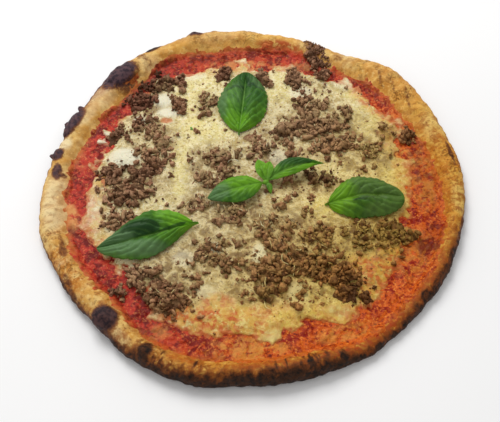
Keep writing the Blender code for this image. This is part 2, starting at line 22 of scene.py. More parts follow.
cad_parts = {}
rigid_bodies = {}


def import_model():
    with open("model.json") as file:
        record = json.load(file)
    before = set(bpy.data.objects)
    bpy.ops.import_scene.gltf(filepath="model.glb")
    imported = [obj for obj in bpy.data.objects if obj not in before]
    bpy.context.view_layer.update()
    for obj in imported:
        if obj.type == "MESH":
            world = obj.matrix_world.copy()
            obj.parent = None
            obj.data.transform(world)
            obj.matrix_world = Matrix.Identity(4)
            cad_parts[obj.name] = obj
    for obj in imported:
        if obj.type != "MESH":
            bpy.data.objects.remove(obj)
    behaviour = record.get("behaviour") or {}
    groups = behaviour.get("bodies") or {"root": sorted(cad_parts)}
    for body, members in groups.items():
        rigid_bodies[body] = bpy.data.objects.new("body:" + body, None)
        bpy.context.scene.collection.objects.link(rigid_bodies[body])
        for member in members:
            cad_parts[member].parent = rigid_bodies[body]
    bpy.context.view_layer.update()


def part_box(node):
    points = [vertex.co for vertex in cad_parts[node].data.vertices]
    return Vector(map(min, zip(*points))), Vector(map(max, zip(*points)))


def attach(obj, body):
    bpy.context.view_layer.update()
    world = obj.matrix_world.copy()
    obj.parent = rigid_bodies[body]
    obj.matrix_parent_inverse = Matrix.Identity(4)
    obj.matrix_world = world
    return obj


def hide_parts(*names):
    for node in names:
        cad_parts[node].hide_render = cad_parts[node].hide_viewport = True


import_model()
MM = 0.001
TAU = 2 * math.pi

# %% [markdown]
# ## The plan of the pizza
#
# On the real pizza the rim's width and height, the edge of the sauce and the edge of the cheese
# all wander as they go round. They could be drawn as outlines with hundreds of points. It is
# shorter and easier to change to give 24 sizes, one for every 15 degrees from +X, and to run a
# smooth closed curve through them, with a little noise for the hand that made it.

# %% Sizes round the pizza
RIM_RADIUS = (
    158.0, 158.0, 160.0, 164.0, 155.5, 156.5, 158.5, 163.5, 162.0, 160.5, 153.5, 151.8,
    155.5, 157.0, 154.7, 154.2, 158.5, 160.3, 156.2, 155.5, 154.7, 152.5, 154.3, 154.6,
)  # fmt: skip
RIM_WIDTH = (21, 23, 28, 29, 23, 21, 21, 22, 22, 27, 24, 19, 22, 23, 25, 26, 21, 21, 20, 21, 17, 17, 18, 17)
RIM_HEIGHT = (12, 12, 13, 14, 12, 11, 14, 14, 13, 15, 13, 13, 12, 12, 12, 14, 14, 15, 15, 14, 9, 9, 11, 12)
SAUCE_RADIUS = (
    140, 139, 137, 141, 136, 143, 143, 144, 147, 136, 136, 136,
    139, 138, 139, 137, 143, 142, 141, 140, 147, 144, 145, 144,
)  # fmt: skip
CHEESE_RADIUS = (
    118, 121, 125, 128, 127, 124, 125, 124, 126, 125, 120, 116,
    122, 124, 118, 116, 122, 121, 122, 120, 123, 122, 121, 118,
)  # fmt: skip
DOUGH_FLOOR = 3.5  # top of the thin dough under the toppings
SAUCE_LEVEL = 5.2  # top of the sauce where cheese covers it


def curve(a, b, c, d, t):
    """A smooth curve from b to c, where a and d are what comes before and after them."""
    return b + 0.5 * t * (c - a + t * (2 * a - 5 * b + 4 * c - d + t * (3 * (b - c) + d - a)))


def around(values, angle):
    """A smooth closed curve through values given at even steps round the pizza."""
    values = np.asarray(values, float)
    count = len(values)
    place = np.asarray(angle) / TAU % 1.0 * count
    first = place.astype(int)
    return curve(*(values[(first + k) % count] for k in (-1, 0, 1, 2)), place - first)


def smooth_step(low, high, value):
    t = np.clip((np.asarray(value, float) - low) / (high - low), 0.0, 1.0)
    return t * t * (3 - 2 * t)


def waves(x, y, length, seed, octaves=1):
    """Smooth unevenness from -1 to 1, with bumps about length across, and finer ones on them."""
    x, y = np.broadcast_arrays(np.asarray(x, float), np.asarray(y, float))
    total, strength = np.zeros(x.size), 1.0
    for octave in range(octaves):
        scale = 2**octave / length
        places = zip((x.ravel() * scale).tolist(), (y.ravel() * scale).tolist())
        total += strength * np.array([noise.noise((u, v, seed + 3.7 * octave)) for u, v in places])
        strength *= 0.5
    return total.reshape(x.shape)


def rim_unevenness(angle, size, seed):
    """Unevenness that runs round the rim and meets itself."""
    return size * waves(9 * np.cos(angle), 9 * np.sin(angle), 1.0, seed)


def rim_radius(angle):
    return around(RIM_RADIUS, angle) + rim_unevenness(angle, 0.8, 1.5)


def rim_height(angle):
    return around(RIM_HEIGHT, angle) + rim_unevenness(angle, 1.3, 4.5)


CREST_SHARE = 0.38  # of the rim's width, from the outer edge to the crest


def sauce_radius(angle):
    crest = rim_radius(angle) - CREST_SHARE * around(RIM_WIDTH, angle)
    return np.minimum(around(SAUCE_RADIUS, angle) + rim_unevenness(angle, 1.6, 8.5), crest - 1.5)


def cheese_radius(angle):
    return around(CHEESE_RADIUS, angle) + rim_unevenness(angle, 3.0, 3.5)


compass = np.linspace(0, TAU, 360, endpoint=False)
print("rim from", round(rim_radius(compass).min(), 1), "to", round(rim_radius(compass).max(), 1), "mm")

# %% [markdown]
# ## Helpers for meshes
#
# A round layer could be a grid of squares or a web of rings. Rings suit the rim, where the
# shape follows the edge. The cheese is better on a square grid bent into a disc, because a web
# of rings is crowded in the middle and coarse at the edge. Both are closed underneath, so that
# every piece is a solid body.


# %% Mesh helpers
def placed(name, data):
    """An object at the origin of the scene."""
    made = bpy.data.objects.new(name, data)
    bpy.context.scene.collection.objects.link(made)
    return made


def finished_piece(name, points, faces):
    """A smooth piece, its points in millimetres."""
    mesh = bpy.data.meshes.new(name)
    mesh.from_pydata((np.asarray(points, float) * MM).tolist(), [], faces)
    mesh.shade_smooth()
    return placed(name, mesh)


def smooth_mesh(name, work):
    """A smooth mesh from a bmesh that is ready."""
    mesh = bpy.data.meshes.new(name)
    work.to_mesh(mesh)
    work.free()
    mesh.shade_smooth()
    return mesh


def face_outwards(mesh):
    """Turns every face of a closed mesh outwards."""
    work = bmesh.new()
    work.from_mesh(mesh)
    bmesh.ops.recalc_face_normals(work, faces=work.faces)
    work.to_mesh(mesh)
    work.free()


def points_of(piece):
    """The piece's points in millimetres, one row each."""
    flat = np.zeros(3 * len(piece.data.vertices), np.float32)
    piece.data.vertices.foreach_get("co", flat)
    return flat.reshape(-1, 3).astype(float) / MM


def move_points(piece, points):
    piece.data.vertices.foreach_set("co", (points * MM).astype(np.float32).ravel())
    piece.data.update()


def paint(piece, name, values):
    """Stores one number for each point, for the piece's finish to read."""
    layer = piece.data.attributes.new(name, "FLOAT", "POINT")
    layer.data.foreach_set("value", np.asarray(values, np.float32))


def ring_faces(rows, columns):
    """Quads between rings of points, and a fan to a middle point before the first and after the last."""
    i = np.arange(columns)
    j = (i + 1) % columns
    low = (np.arange(rows - 1) * columns)[:, None]
    quads = np.stack([low + i, low + j, low + columns + j, low + columns + i], axis=-1).reshape(-1, 4)
    last = (rows - 1) * columns
    first_fan = np.stack([j, i, np.full(columns, rows * columns)], axis=-1)
    last_fan = np.stack([last + i, last + j, np.full(columns, rows * columns + 1)], axis=-1)
    return quads.tolist() + first_fan.tolist() + last_fan.tolist()


def ring_solid(name, rings):
    """A closed solid from rings of points, from the middle of the underside out, up and back in."""
    rings = np.asarray(rings, float)
    middles = [[0.0, 0.0, ring[:, 2].mean()] for ring in (rings[0], rings[-1])]
    return finished_piece(name, [*rings.reshape(-1, 3), *middles], ring_faces(*rings.shape[:2]))


# %% Grids, eggs and surfaces
def grid_parts(rows, columns):
    """Quads of a grid of points, row by row, and the points of its rim in order."""
    index = np.arange((rows + 1) * (columns + 1)).reshape(rows + 1, columns + 1)
    quads = np.stack([index[:-1, :-1], index[:-1, 1:], index[1:, 1:], index[1:, :-1]], axis=-1).reshape(-1, 4)
    return quads, np.concatenate([index[0, :-1], index[:-1, -1], index[-1, :0:-1], index[:0:-1, 0]])


def egg(place, half_sizes, turn):
    """The matrix that makes a ball of radius 1 an egg, turned by degrees on the plan."""
    sizes = Matrix.Diagonal((*(size * MM for size in half_sizes), 1))
    return Matrix.Translation(Vector(place) * MM) @ Matrix.Rotation(math.radians(turn), 4, "Z") @ sizes


def surface_of(*pieces):
    """What the next layer is laid on: a tree for dropping rays."""
    points, faces = [], []
    for piece in pieces:
        start = len(points)
        points += [v.co.copy() for v in piece.data.vertices]
        faces += [[start + v for v in face.vertices] for face in piece.data.polygons]
    return BVHTree.FromPolygons(points, faces)


DROP_HEIGHT = 60.0
DOWN = Vector((0, 0, -1))


def height_on(surface, x, y, missing=0.0):
    """The height of a surface under each point of the plan."""
    heights = []
    for px, py in zip(np.ravel(x).tolist(), np.ravel(y).tolist()):
        hit = surface.ray_cast(Vector((px, py, DROP_HEIGHT)) * MM, DOWN)[0]
        heights.append(hit.z / MM if hit else missing)
    return np.array(heights).reshape(np.shape(x))


# %% Spots on the plan
def plan(points):
    """x, y, angle and radius of each point."""
    x, y = points[:, 0], points[:, 1]
    return x, y, np.arctan2(y, x), np.hypot(x, y)


def patches(x, y, spots):
    """Soft ellipses on the plan, each x, y, half-length, half-width, turn in degrees, strength."""
    total = np.zeros(np.shape(x))
    for spot_x, spot_y, half_length, half_width, turn, strength in spots:
        c, s = math.cos(math.radians(turn)), math.sin(math.radians(turn))
        u, v = (x - spot_x) * c + (y - spot_y) * s, (y - spot_y) * c - (x - spot_x) * s
        away = np.hypot(u / half_length, v / half_width)
        total = np.maximum(total, strength * smooth_step(1.35, 0.65, away))
    return total


def warm_light_share(x, y):
    """Painted warm light from 0 to 1, rising towards the lower right, which makes everything there more golden."""
    return smooth_step(-30.0, 105.0, 0.75 * x - 0.66 * y)


def paint_spots(piece, **spots):
    """Paints soft ellipses on a piece, each list of them under its own name, and the share of painted warm light."""
    x, y, _, _ = plan(points_of(piece))
    for name, ellipses in spots.items():
        paint(piece, name, patches(x, y, ellipses))
    # Painted warm light: every finish is tinted orange by this share.
    paint(piece, "warm_light", warm_light_share(x, y))


# %% [markdown]
# ## Helpers for nodes
#
# Materials and Geometry Nodes share their noise, mix and maths nodes. One small class adds a
# node, fills its sockets by name and returns its output, so that a finish reads like a recipe:
# a base colour, and then one tint over another. Noise is asked for by the size of its bumps in
# millimetres, and colours as the eye reads them, from 0 to 255.


# %% Node helpers
def seen(red, green, blue):
    """A colour as the eye reads it, turned into the linear values that nodes expect."""
    linear = [c / 255 / 12.92 if c <= 10 else ((c / 255 + 0.055) / 1.055) ** 2.4 for c in (red, green, blue)]
    return (*linear, 1.0)


WARM_LIGHT_TINT = (0.92, 0.79, 0.37, 1.0)  # the colour of the painted warm light, linear


class Recipe:
    """Adds nodes to a tree; each method returns an output socket."""

    def __init__(self, tree, place):
        self.tree = tree
        self.place = place

    def add(self, kind, inputs=(), settings=(), output=None):
        made = self.tree.nodes.new(kind)
        for name, value in dict(settings).items():
            setattr(made, name, value)
        for name, value in dict(inputs).items():
            by_name = (s for s in made.inputs if s.enabled and s.name == name)
            socket = made.inputs[name] if isinstance(name, int) else next(by_name)
            if isinstance(value, bpy.types.NodeSocket):
                self.tree.links.new(value, socket)
            else:
                socket.default_value = value
        outputs = [s for s in made.outputs if s.enabled and output in (None, s.name)]
        return outputs[0] if outputs else made

    def noise(self, size, detail=2.0, roughness=0.5, distortion=0.0):
        inputs = {"Vector": self.place, "Scale": 1 / (size * MM), "Detail": detail}
        inputs |= {"Roughness": roughness, "Distortion": distortion}
        return self.add("ShaderNodeTexNoise", inputs, output="Fac")

    def cells(self, size, feature="F1"):
        inputs = {"Vector": self.place, "Scale": 1 / (size * MM)}
        return self.add("ShaderNodeTexVoronoi", inputs, {"feature": feature}, "Distance")

    def ramp(self, value, low, high, start=0.0, end=1.0):
        inputs = {"Value": value, "From Min": low, "From Max": high, "To Min": start, "To Max": end}
        return self.add("ShaderNodeMapRange", inputs, {"interpolation_type": "SMOOTHSTEP"})

    def maths(self, operation, a, b):
        return self.add("ShaderNodeMath", {0: a, 1: b}, {"operation": operation})

    def centred(self, value):
        """A value that ran from 0 to 1, moved to run from -0.5 to 0.5."""
        return self.maths("SUBTRACT", value, 0.5)

    def mix(self, share, a, b, blend="MIX"):
        inputs = {"Factor": share, "A": a, "B": b}
        return self.add("ShaderNodeMix", inputs, {"data_type": "RGBA", "blend_type": blend}, "Result")

    def painted(self, name):
        """A painted number, for a finish."""
        return self.add("ShaderNodeAttribute", settings={"attribute_name": name}, output="Fac")

    def recalled(self, name):
        """A painted number, for Geometry Nodes."""
        return self.add("GeometryNodeInputNamedAttribute", {"Name": name}, {"data_type": "FLOAT"}, "Attribute")

    def along_normal(self, rise):
        normal = self.add("GeometryNodeInputNormal", output="Normal")
        return self.add("ShaderNodeVectorMath", {0: normal, "Scale": rise}, {"operation": "SCALE"})

    def over(self, colour, tint, *shares):
        """A tint over a colour; its share is the product of numbers, outputs and painted numbers."""
        share, *others = (self.painted(s) if isinstance(s, str) else s for s in shares)
        for other in others:
            share = self.maths("MULTIPLY", share, other)
        colour, tint = (seen(*c) if isinstance(c, tuple) else c for c in (colour, tint))
        return self.mix(share, colour, tint)

    def warm_lit(self, colour):
        """The colour under a painted warm light: an orange tint, stronger towards the lower right."""
        return self.mix(self.painted("warm_light"), colour, WARM_LIGHT_TINT, "MULTIPLY")


# %% Finishes
def new_finish(name, make, bump_depth, **constants):
    """A material. make gives its colour and the height of its fine relief, and bump_depth in
    millimetres is a full step of that. The constants are set on the shader's own sockets."""
    material = bpy.data.materials.new(name)
    material.use_nodes = True
    tree = material.node_tree
    shader = tree.nodes["Principled BSDF"]
    for socket, value in constants.items():
        shader.inputs[socket.replace("_", " ")].default_value = value
    recipe = Recipe(tree, tree.nodes.new("ShaderNodeTexCoord").outputs["Object"])
    colour, height = make(recipe)
    tree.links.new(colour, shader.inputs["Base Color"])
    if bump_depth:
        inputs = {"Height": height, "Distance": bump_depth * MM, "Strength": 1.0}
        tree.links.new(recipe.add("ShaderNodeBump", inputs), shader.inputs["Normal"])
    return material


# %% Geometry Nodes
def geometry_recipe(name, sizes):
    """A Geometry Nodes tree with the named sizes as its inputs, and its recipe."""
    tree = bpy.data.node_groups.new(name, "GeometryNodeTree")
    tree.interface.new_socket("Geometry", in_out="INPUT", socket_type="NodeSocketGeometry")
    tree.interface.new_socket("Geometry", in_out="OUTPUT", socket_type="NodeSocketGeometry")
    for label, value in sizes.items():
        kind = "NodeSocketInt" if isinstance(value, int) else "NodeSocketFloat"
        tree.interface.new_socket(label, in_out="INPUT", socket_type=kind).default_value = value
    given = tree.nodes.new("NodeGroupInput")
    result = tree.nodes.new("NodeGroupOutput")
    place = tree.nodes.new("GeometryNodeInputPosition").outputs["Position"]
    return Recipe(tree, place), given, result


def offset_tree(recipe, given, result, offset):
    """Ends a tree that moves each point of the given mesh by an offset."""
    moved = recipe.add("GeometryNodeSetPosition", {"Geometry": given.outputs["Geometry"], "Offset": offset})
    recipe.tree.links.new(moved, result.inputs["Geometry"])
    return recipe.tree


def relief_tree(name, sizes, make_layers, where=None):
    """Two layers of relief, straight up where a painted number says, or else along the normals."""
    recipe, given, result = geometry_recipe(name, sizes)
    heights = [given.outputs[label] for label in sizes if label.endswith("height")]
    coarse, fine = (recipe.maths("MULTIPLY", *pair) for pair in zip(make_layers(recipe), heights))
    scale = recipe.maths("MULTIPLY", recipe.recalled(where), MM) if where else MM
    rise = recipe.maths("MULTIPLY", recipe.maths("ADD", coarse, fine), scale)
    offset = recipe.add("ShaderNodeCombineXYZ", {"Z": rise}) if where else recipe.along_normal(rise)
    return offset_tree(recipe, given, result, offset)


def run_tree(piece, tree, sizes=()):
    """Runs a tree on a piece, and keeps what it makes as the piece's own plain mesh."""
    modifier = piece.modifiers.new(tree.name, "NODES")
    modifier.node_group = tree
    for item in tree.interface.items_tree:
        if item.in_out == "INPUT" and item.name in sizes:
            modifier[item.identifier] = sizes[item.name]
    graph = bpy.context.evaluated_depsgraph_get()
    evaluated = piece.evaluated_get(graph)
    plain = bpy.data.meshes.new_from_object(evaluated, preserve_all_data_layers=True, depsgraph=graph)
    piece.modifiers.clear()
    piece.data = plain
    print(piece.name, "has", sum(len(f.vertices) - 2 for f in plain.polygons), "triangles")


# %% [markdown]
# ## Camera, floor and light
#
# The pizza was seen from 56 degrees above the table and from about 60 cm away, which is what
# makes the outline round again when it is drawn in plan. The light is a big soft one above and
# behind, as from a window, so that every crumb throws a little shadow towards the camera, and
# a white surround fills the shadows. Three small lamps could do the same, but their shadows
# would cross. The floor is plain white, bright enough to burn out away from the pizza and to
# hold a soft grey shadow close to it.

# %% Camera
CAMERA_DISTANCE = 620.0
CAMERA_ELEVATION = math.radians(56.0)
CAMERA_AIM = Vector((-1.716, -22.335, 8.0))
SENSOR_WIDTH = 36.0
CAMERA_LENS = 61.67

camera = placed("camera", bpy.data.cameras.new("camera"))
camera.data.sensor_width = SENSOR_WIDTH
camera.data.lens = CAMERA_LENS
back = Vector((0.0, -math.cos(CAMERA_ELEVATION), math.sin(CAMERA_ELEVATION)))
camera.location = (CAMERA_AIM + back * CAMERA_DISTANCE) * MM
camera.rotation_euler = (-back).to_track_quat("-Z", "Y").to_euler()
bpy.context.scene.camera = camera
print("camera at", [round(c, 3) for c in camera.location])

# %% Light and floor
SURROUND_STRENGTH = 0.55
WINDOW_PLACE = Vector((-0.35, 0.75, 1.10))  # in metres; it is aimed at the middle of the pizza
WINDOW_SIZE = 0.75  # in metres
WINDOW_POWER = 12.6
FLOOR_HALF = 4000.0
FLOOR_LEVEL = -0.2

bpy.context.scene.view_settings.view_transform = "Standard"
world = bpy.data.worlds.new("white surround")
world.use_nodes = True
world.node_tree.nodes["Background"].inputs["Color"].default_value = (1.0, 1.0, 1.0, 1.0)
world.node_tree.nodes["Background"].inputs["Strength"].default_value = SURROUND_STRENGTH
bpy.context.scene.world = world

window = placed("window light", bpy.data.lights.new("window light", "AREA"))
window.data.size = WINDOW_SIZE
window.data.energy = WINDOW_POWER
window.location = WINDOW_PLACE
window.rotation_euler = (-WINDOW_PLACE).to_track_quat("-Z", "Y").to_euler()


def paint_floor(recipe):
    shade = recipe.ramp(recipe.noise(400.0), 0.3, 0.7)
    return recipe.mix(shade, (0.94, 0.935, 0.93, 1.0), (0.97, 0.965, 0.96, 1.0)), None


corners = [(x * FLOOR_HALF, y * FLOOR_HALF, FLOOR_LEVEL) for x, y in ((-1, -1), (1, -1), (1, 1), (-1, 1))]
floor = finished_piece("floor", corners, [(0, 1, 2, 3)])
floor.data.materials.append(new_finish("white floor", paint_floor, None, Roughness=0.9, Specular_IOR_Level=0.1))

# %% [markdown]
# ## The dough
#
# A pizza's rim is a rolled, puffed edge: steep outside, rounded over the crest, and running
# down to a thin floor inside. It could be sculpted, but a cut through it is nearly the same
# everywhere, so one profile is swept round, scaled at each angle by the width and height there.
# The profile is a smooth curve through the same eleven points that the solid has.

# %% The dough's rings
# Shares of the rim's width, from the outer edge, and of its height.
OUTER_PROFILE = ((0.40, 0.0), (0.16, 0.06), (0.04, 0.21), (0.0, 0.43), (0.04, 0.66), (0.13, 0.85), (0.25, 0.96))
INNER_PROFILE = ((0.38, 1.0), (0.57, 0.86), (0.78, 0.45), (1.0, 0.0))
PROFILE_STEPS = 6  # rings between two points of the profile
DOUGH_COLUMNS = 960
UNDERSIDE_SHARES = (0.25, 0.5, 0.7, 0.85, 0.95)
FLOOR_SHARES = (0.9, 0.7, 0.45, 0.2)


def smooth_through(points, steps):
    """A smooth open curve through points, with even steps between each two."""
    p = np.array(points, float)
    p = np.vstack([2 * p[0] - p[1], p, 2 * p[-1] - p[-2]])
    t = np.linspace(0, 1, steps, endpoint=False)[:, None]
    spans = [curve(*four, t) for four in zip(p, p[1:], p[2:], p[3:])]
    return np.vstack([*spans, p[-2:-1]])


def dough_rings():
    """Each profile point is a share of the width, of the floor's height and of the rim's height."""
    angle = np.linspace(0, TAU, DOUGH_COLUMNS, endpoint=False)
    radius, width, height = rim_radius(angle), around(RIM_WIDTH, angle), rim_height(angle)
    profile = [(t, 0.0, h) for t, h in OUTER_PROFILE] + [(t, 1.0 - h, h) for t, h in INNER_PROFILE]
    rings = []

    def add_ring(ring_radius, z):
        x, y = ring_radius * np.cos(angle), ring_radius * np.sin(angle)
        rings.append(np.stack([x, y, np.broadcast_to(z, x.shape)], axis=-1))

    for share in UNDERSIDE_SHARES:
        add_ring(share * (radius - OUTER_PROFILE[0][0] * width), 0.0)
    for inwards, of_floor, of_rim in smooth_through(profile, PROFILE_STEPS):
        add_ring(radius - inwards * width, np.maximum(0.0, of_floor * DOUGH_FLOOR + of_rim * height))
    for share in FLOOR_SHARES:
        add_ring(share * (radius - width), DOUGH_FLOOR)
    return rings


dough = ring_solid("baked_dough", dough_rings())
print("dough:", len(dough.data.vertices), "points")

# %% [markdown]
# ## Blisters and burnt flaps
#
# Where gas collects under the skin, the rim swells into blisters, and the oven scorches them
# first. A blister could be a ball joined on, but a joint would show. Here the dough's own
# points are pushed out onto an egg shape, with a soft foot, as the skin of real dough is.
# Three burst blisters at the left have left small burnt flaps, which are thin curled tongues.

# %% Swelling the blisters
# Middle x, y, z, three half-sizes, and turn in degrees.
BLISTERS = (
    (-104.5, 106.5, 12.5, 14.5, 8.5, 6.0, 44.0), (-98.0, -110.0, 10.5, 10.0, 8.0, 6.5, 138.0),
    (-138.0, 57.5, 9.5, 14.0, 6.0, 5.5, 67.0), (-145.5, 27.5, 9.0, 6.0, 5.5, 5.0, 80.0),
    (-47.5, 150.5, 10.5, 8.0, 5.0, 5.0, 17.0), (-68.5, -136.0, 9.5, 6.5, 6.0, 5.5, 63.0),
)  # fmt: skip
FOOT_SOFTNESS = 0.02
FOOT_END, FOOT_START = 1.9, 1.3  # where the swelling fades out, in half-sizes


def swell(points, blister):
    """Moves the points that lie inside an egg shape out onto it."""
    x, y, z, *half_sizes, turn = blister
    spin = np.array(Matrix.Rotation(math.radians(turn), 3, "Z"))
    local = (points - (x, y, z)) @ spin / half_sizes
    away = np.maximum(np.linalg.norm(local, axis=1), 0.05)
    pushed = 0.5 * (away + 1 + np.sqrt((away - 1) ** 2 + FOOT_SOFTNESS))
    moved = (x, y, z) + (points - (x, y, z)) * (pushed / away)[:, None]
    near = smooth_step(FOOT_END, FOOT_START, away)[:, None]
    return points + near * (moved - points)


skin = points_of(dough)
for blister in BLISTERS:
    skin = swell(skin, blister)
skin[:, 2] = np.maximum(skin[:, 2], 0.0)
move_points(dough, skin)
print("highest blister:", round(skin[:, 2].max(), 1), "mm")

# %% [markdown]
# ## The dough's skin
#
# Baked dough is never smooth: it has low swellings a fingertip wide, small bubbles, and fine
# wrinkles where it dried. This is the same rule all over the rim, so Geometry Nodes make it:
# three layers of noise move each point along its normal. A painted number, rim, keeps the flat
# underside and the hidden floor as they are.

# %% Skin relief by Geometry Nodes
SKIN_SIZES = {
    "Swelling size": 15.0, "Swelling height": 2.0, "Bubble size": 6.0, "Bubble height": 0.8,
    "Wrinkle size": 2.4, "Wrinkle depth": 0.45,
}  # fmt: skip


def build_skin_tree():
    recipe, given, result = geometry_recipe("dough_skin", SKIN_SIZES)

    def layer(label, height_label, make):
        centred = recipe.centred(make(SKIN_SIZES[label]))
        return recipe.maths("MULTIPLY", centred, recipe.maths("MULTIPLY", given.outputs[height_label], MM))

    swelling = layer("Swelling size", "Swelling height", lambda size: recipe.noise(size, 1.0))
    bubbles = layer("Bubble size", "Bubble height", lambda size: recipe.ramp(recipe.cells(size), 0.75, 0.1))
    wrinkles = layer("Wrinkle size", "Wrinkle depth", lambda size: recipe.noise(size, 3.0, 0.6, 0.8))
    total = recipe.maths("ADD", recipe.maths("ADD", swelling, bubbles), wrinkles)
    total = recipe.maths("MULTIPLY", total, recipe.recalled("rim"))
    return offset_tree(recipe, given, result, recipe.along_normal(total))


x, y, angle, radius = plan(skin)
floor_edge = rim_radius(angle) - around(RIM_WIDTH, angle)
above_base = smooth_step(0.3, 2.5, skin[:, 2])
paint(dough, "rim", above_base * smooth_step(floor_edge - 6.0, floor_edge + 4.0, radius))
run_tree(dough, build_skin_tree())

# %% Burnt flaps, and a fit to the solid's box
# Place round the rim and bearing in degrees, height, length and half-width.
BURNT_FLAPS = ((151.5, 140.0, 8.5, 3.0, 3.0), (158.0, 165.0, 8.5, 5.0, 4.5), (169.5, 185.0, 8.0, 3.0, 2.8))
FLAP_ROOT = 3.0  # how deep its root lies in the rim
FLAP_SIDES = 12
FLAP_RINGS = 7
FLAP_CURL = 1.2  # how far the tip turns up
FLAP_FLATNESS = 0.55  # its thickness as a share of its width
FLAP_EDGE = 0.1  # half-width of the blunt tip
BOX_MARGIN = 0.05  # the dough stays this far inside the solid's box


def burnt_flap(number, place, bearing, height, length, half_width):
    """A curled tongue: rings that narrow to a blunt tip while they turn up."""
    place, bearing = math.radians(place), math.radians(bearing)
    start = rim_radius(place) - FLAP_ROOT
    root = np.array([start * math.cos(place), start * math.sin(place), height])
    along = np.array([math.cos(bearing), math.sin(bearing), 0])
    side, up = np.array([-along[1], along[0], 0]), np.array([0, 0, 1])
    turn = np.linspace(0, TAU, FLAP_SIDES, endpoint=False)[:, None]
    rings = []
    for t in np.linspace(0, 1, FLAP_RINGS):
        wide = half_width * math.sqrt(max(0.0, 1 - t**2.2)) + FLAP_EDGE
        middle = root + along * t * (length + FLAP_ROOT) + up * FLAP_CURL * t * t
        rough = 1 + 0.3 * waves(np.cos(turn) + number, t * 4 + 0 * turn, 0.6, 2.0)
        across, above = side * wide * np.cos(turn), up * FLAP_FLATNESS * wide * np.sin(turn)
        rings.append(middle + across * rough + above * rough)
    points = np.vstack([*rings, root, rings[-1].mean(axis=0) + FLAP_EDGE * along])
    return points, ring_faces(FLAP_RINGS, FLAP_SIDES)


def join_on(piece, others):
    """Makes the others part of a piece."""
    with bpy.context.temp_override(active_object=piece, selected_editable_objects=[piece, *others], object=piece):
        bpy.ops.object.join()


join_on(dough, [finished_piece(f"burnt_flap_{n}", *burnt_flap(n, *flap)) for n, flap in enumerate(BURNT_FLAPS)])
skin = points_of(dough)
low, high = (np.array(corner)[:2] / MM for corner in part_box("crust"))
room = [*(high - BOX_MARGIN) / skin[:, :2].max(axis=0), *low / skin[:, :2].min(axis=0)]
fit = min(1.0, *room)
skin[:, :2] *= fit
move_points(dough, skin)
print("the plan is shrunk by a factor of", round(fit, 5), "to stay inside the solid's box")

# %% [markdown]
# ## Where the dough is scorched, oiled and pale
#
# A wood oven burns the lower wall of the rim on the side that faced the fire, runs streaks of
# scorch up over the crest there, blackens the blisters, and leaves pale cream where the dough
# was shaded. Orange oil has run over the rim at the right, and sauce has soaked into it in
# places. None of this can come from a rule, so these are named spots on the plan. Each number
# is painted on the mesh, and noise in the finish frays its edges.

# %% Dough spots
# Round the rim: how far the scorch comes in from the edge, in millimetres, and how dark it is.
SCORCH_REACH = (
    0.6, 0.8, 0.6, 0.8, 0.8, 1.0, 2.0, 3.0, 2.5, 3.0, 2.5, 1.5,
    1.0, 0.8, 1.5, 2.0, 3.0, 4.5, 5.5, 7.5, 3.5, 3.5, 4.5, 2.2,
)  # fmt: skip
SCORCH_DEPTH = (
    0.6, 0.6, 0.6, 0.6, 0.5, 0.5, 0.6, 0.7, 0.8, 0.9, 0.9, 0.9,
    0.7, 0.6, 0.8, 0.9, 1.0, 1.1, 1.1, 1.1, 1.0, 1.0, 1.0, 0.9,
)  # fmt: skip
# Round the rim: how brown its crust is.
TOASTED = (
    0.9, 0.9, 0.6, 0.6, 0.5, 0.4, 0.35, 0.3, 0.3, 0.35, 0.2, 0.3,
    0.35, 0.5, 1.0, 0.8, 0.8, 1.0, 1.0, 1.0, 1.0, 0.9, 1.0, 0.8,
)  # fmt: skip
# Blisters and places on the crest that are burnt.
SCORCHES = (
    (-107, 105.5, 17.5, 11, 45, 1.0), (-98, -111, 9.5, 9, 138, 1.0), (-139, 58, 17, 6.5, 66, 0.95),
    (-146.5, 27, 6, 5, 80, 0.9), (-145, 11, 7, 4, 95, 0.75), (-141, 8, 4, 2, 0, 0.5), (-48, 154, 7, 6, 10, 0.9),
    (-83, 137, 9, 5, 32, 0.95), (-86, 121, 5, 5, 40, 0.35), (5, 157, 9, 2.5, 0, 0.5), (46, 155, 5, 3, 160, 0.3),
    (50, 141, 7, 12, 25, 0.5), (-70, -135, 8, 5, 63, 0.9), (118, -92, 5, 4, 52, 0.8),
    (106, -109, 4, 3.5, 45, 0.7), (140, -60, 9, 3, 67, 0.7), (127, -82, 8, 3, 57, 0.7),
    (149, 30, 10, 1.8, 101, 0.6), (-132, -58, 6, 3, 110, 0.5), (-123, -92, 7, 3, 126, 0.6),
    (-126, -82, 8, 2.2, 122, 0.5), (-7, -136, 2.6, 2.2, 0, 0.9), (70, 127, 4.5, 3.0, 150, 0.35),
    (-134, -52, 10, 2, 108, 0.4), (-100, 98, 10, 5, 45, 0.5),
)  # fmt: skip
# Three creases at the upper right that browned, and a stain at the upper left.
CREASES = (
    (102.5, 106, 9, 1.3, 97, 0.4), (122.5, 82, 12, 1.3, 96, 0.4), (112, 96, 8, 1.1, 100, 0.35),
    (-89, 124, 4, 7, 36, 0.4),
)  # fmt: skip
# Streaks of scorch that run up over the rim on the side of the fire.
TONGUES = (
    (-62, -140, 9, 5, 66, 1.0), (-38, -145, 10, 5, 75, 1.0), (-48, -149, 8, 4, 70, 0.8),
    (34, -141, 12, 6, 104, 1.0), (56, -138, 10, 6, 112, 1.0), (14, -147, 8, 6, 95, 0.9),
    (-20, -148, 8, 4, 82, 0.8), (46, -137, 7, 4, 106, 0.8), (-74, -134, 9, 5, 60, 0.9),
    (40, -139, 12, 4, 106, 1.2), (24, -143, 10, 3, 100, 1.0), (60, -137, 8, 7, 114, 1.2),
)  # fmt: skip
# Burnt places that are grey with ash.
ASHEN = (
    (-107, 105, 26, 20, 45, 1.0), (-139, 58, 26, 16, 66, 1.0), (-146, 20, 18, 22, 0, 1.0),
    (-100, -111, 16, 16, 0, 0.6), (-48, 152, 14, 12, 0, 0.7),
)  # fmt: skip
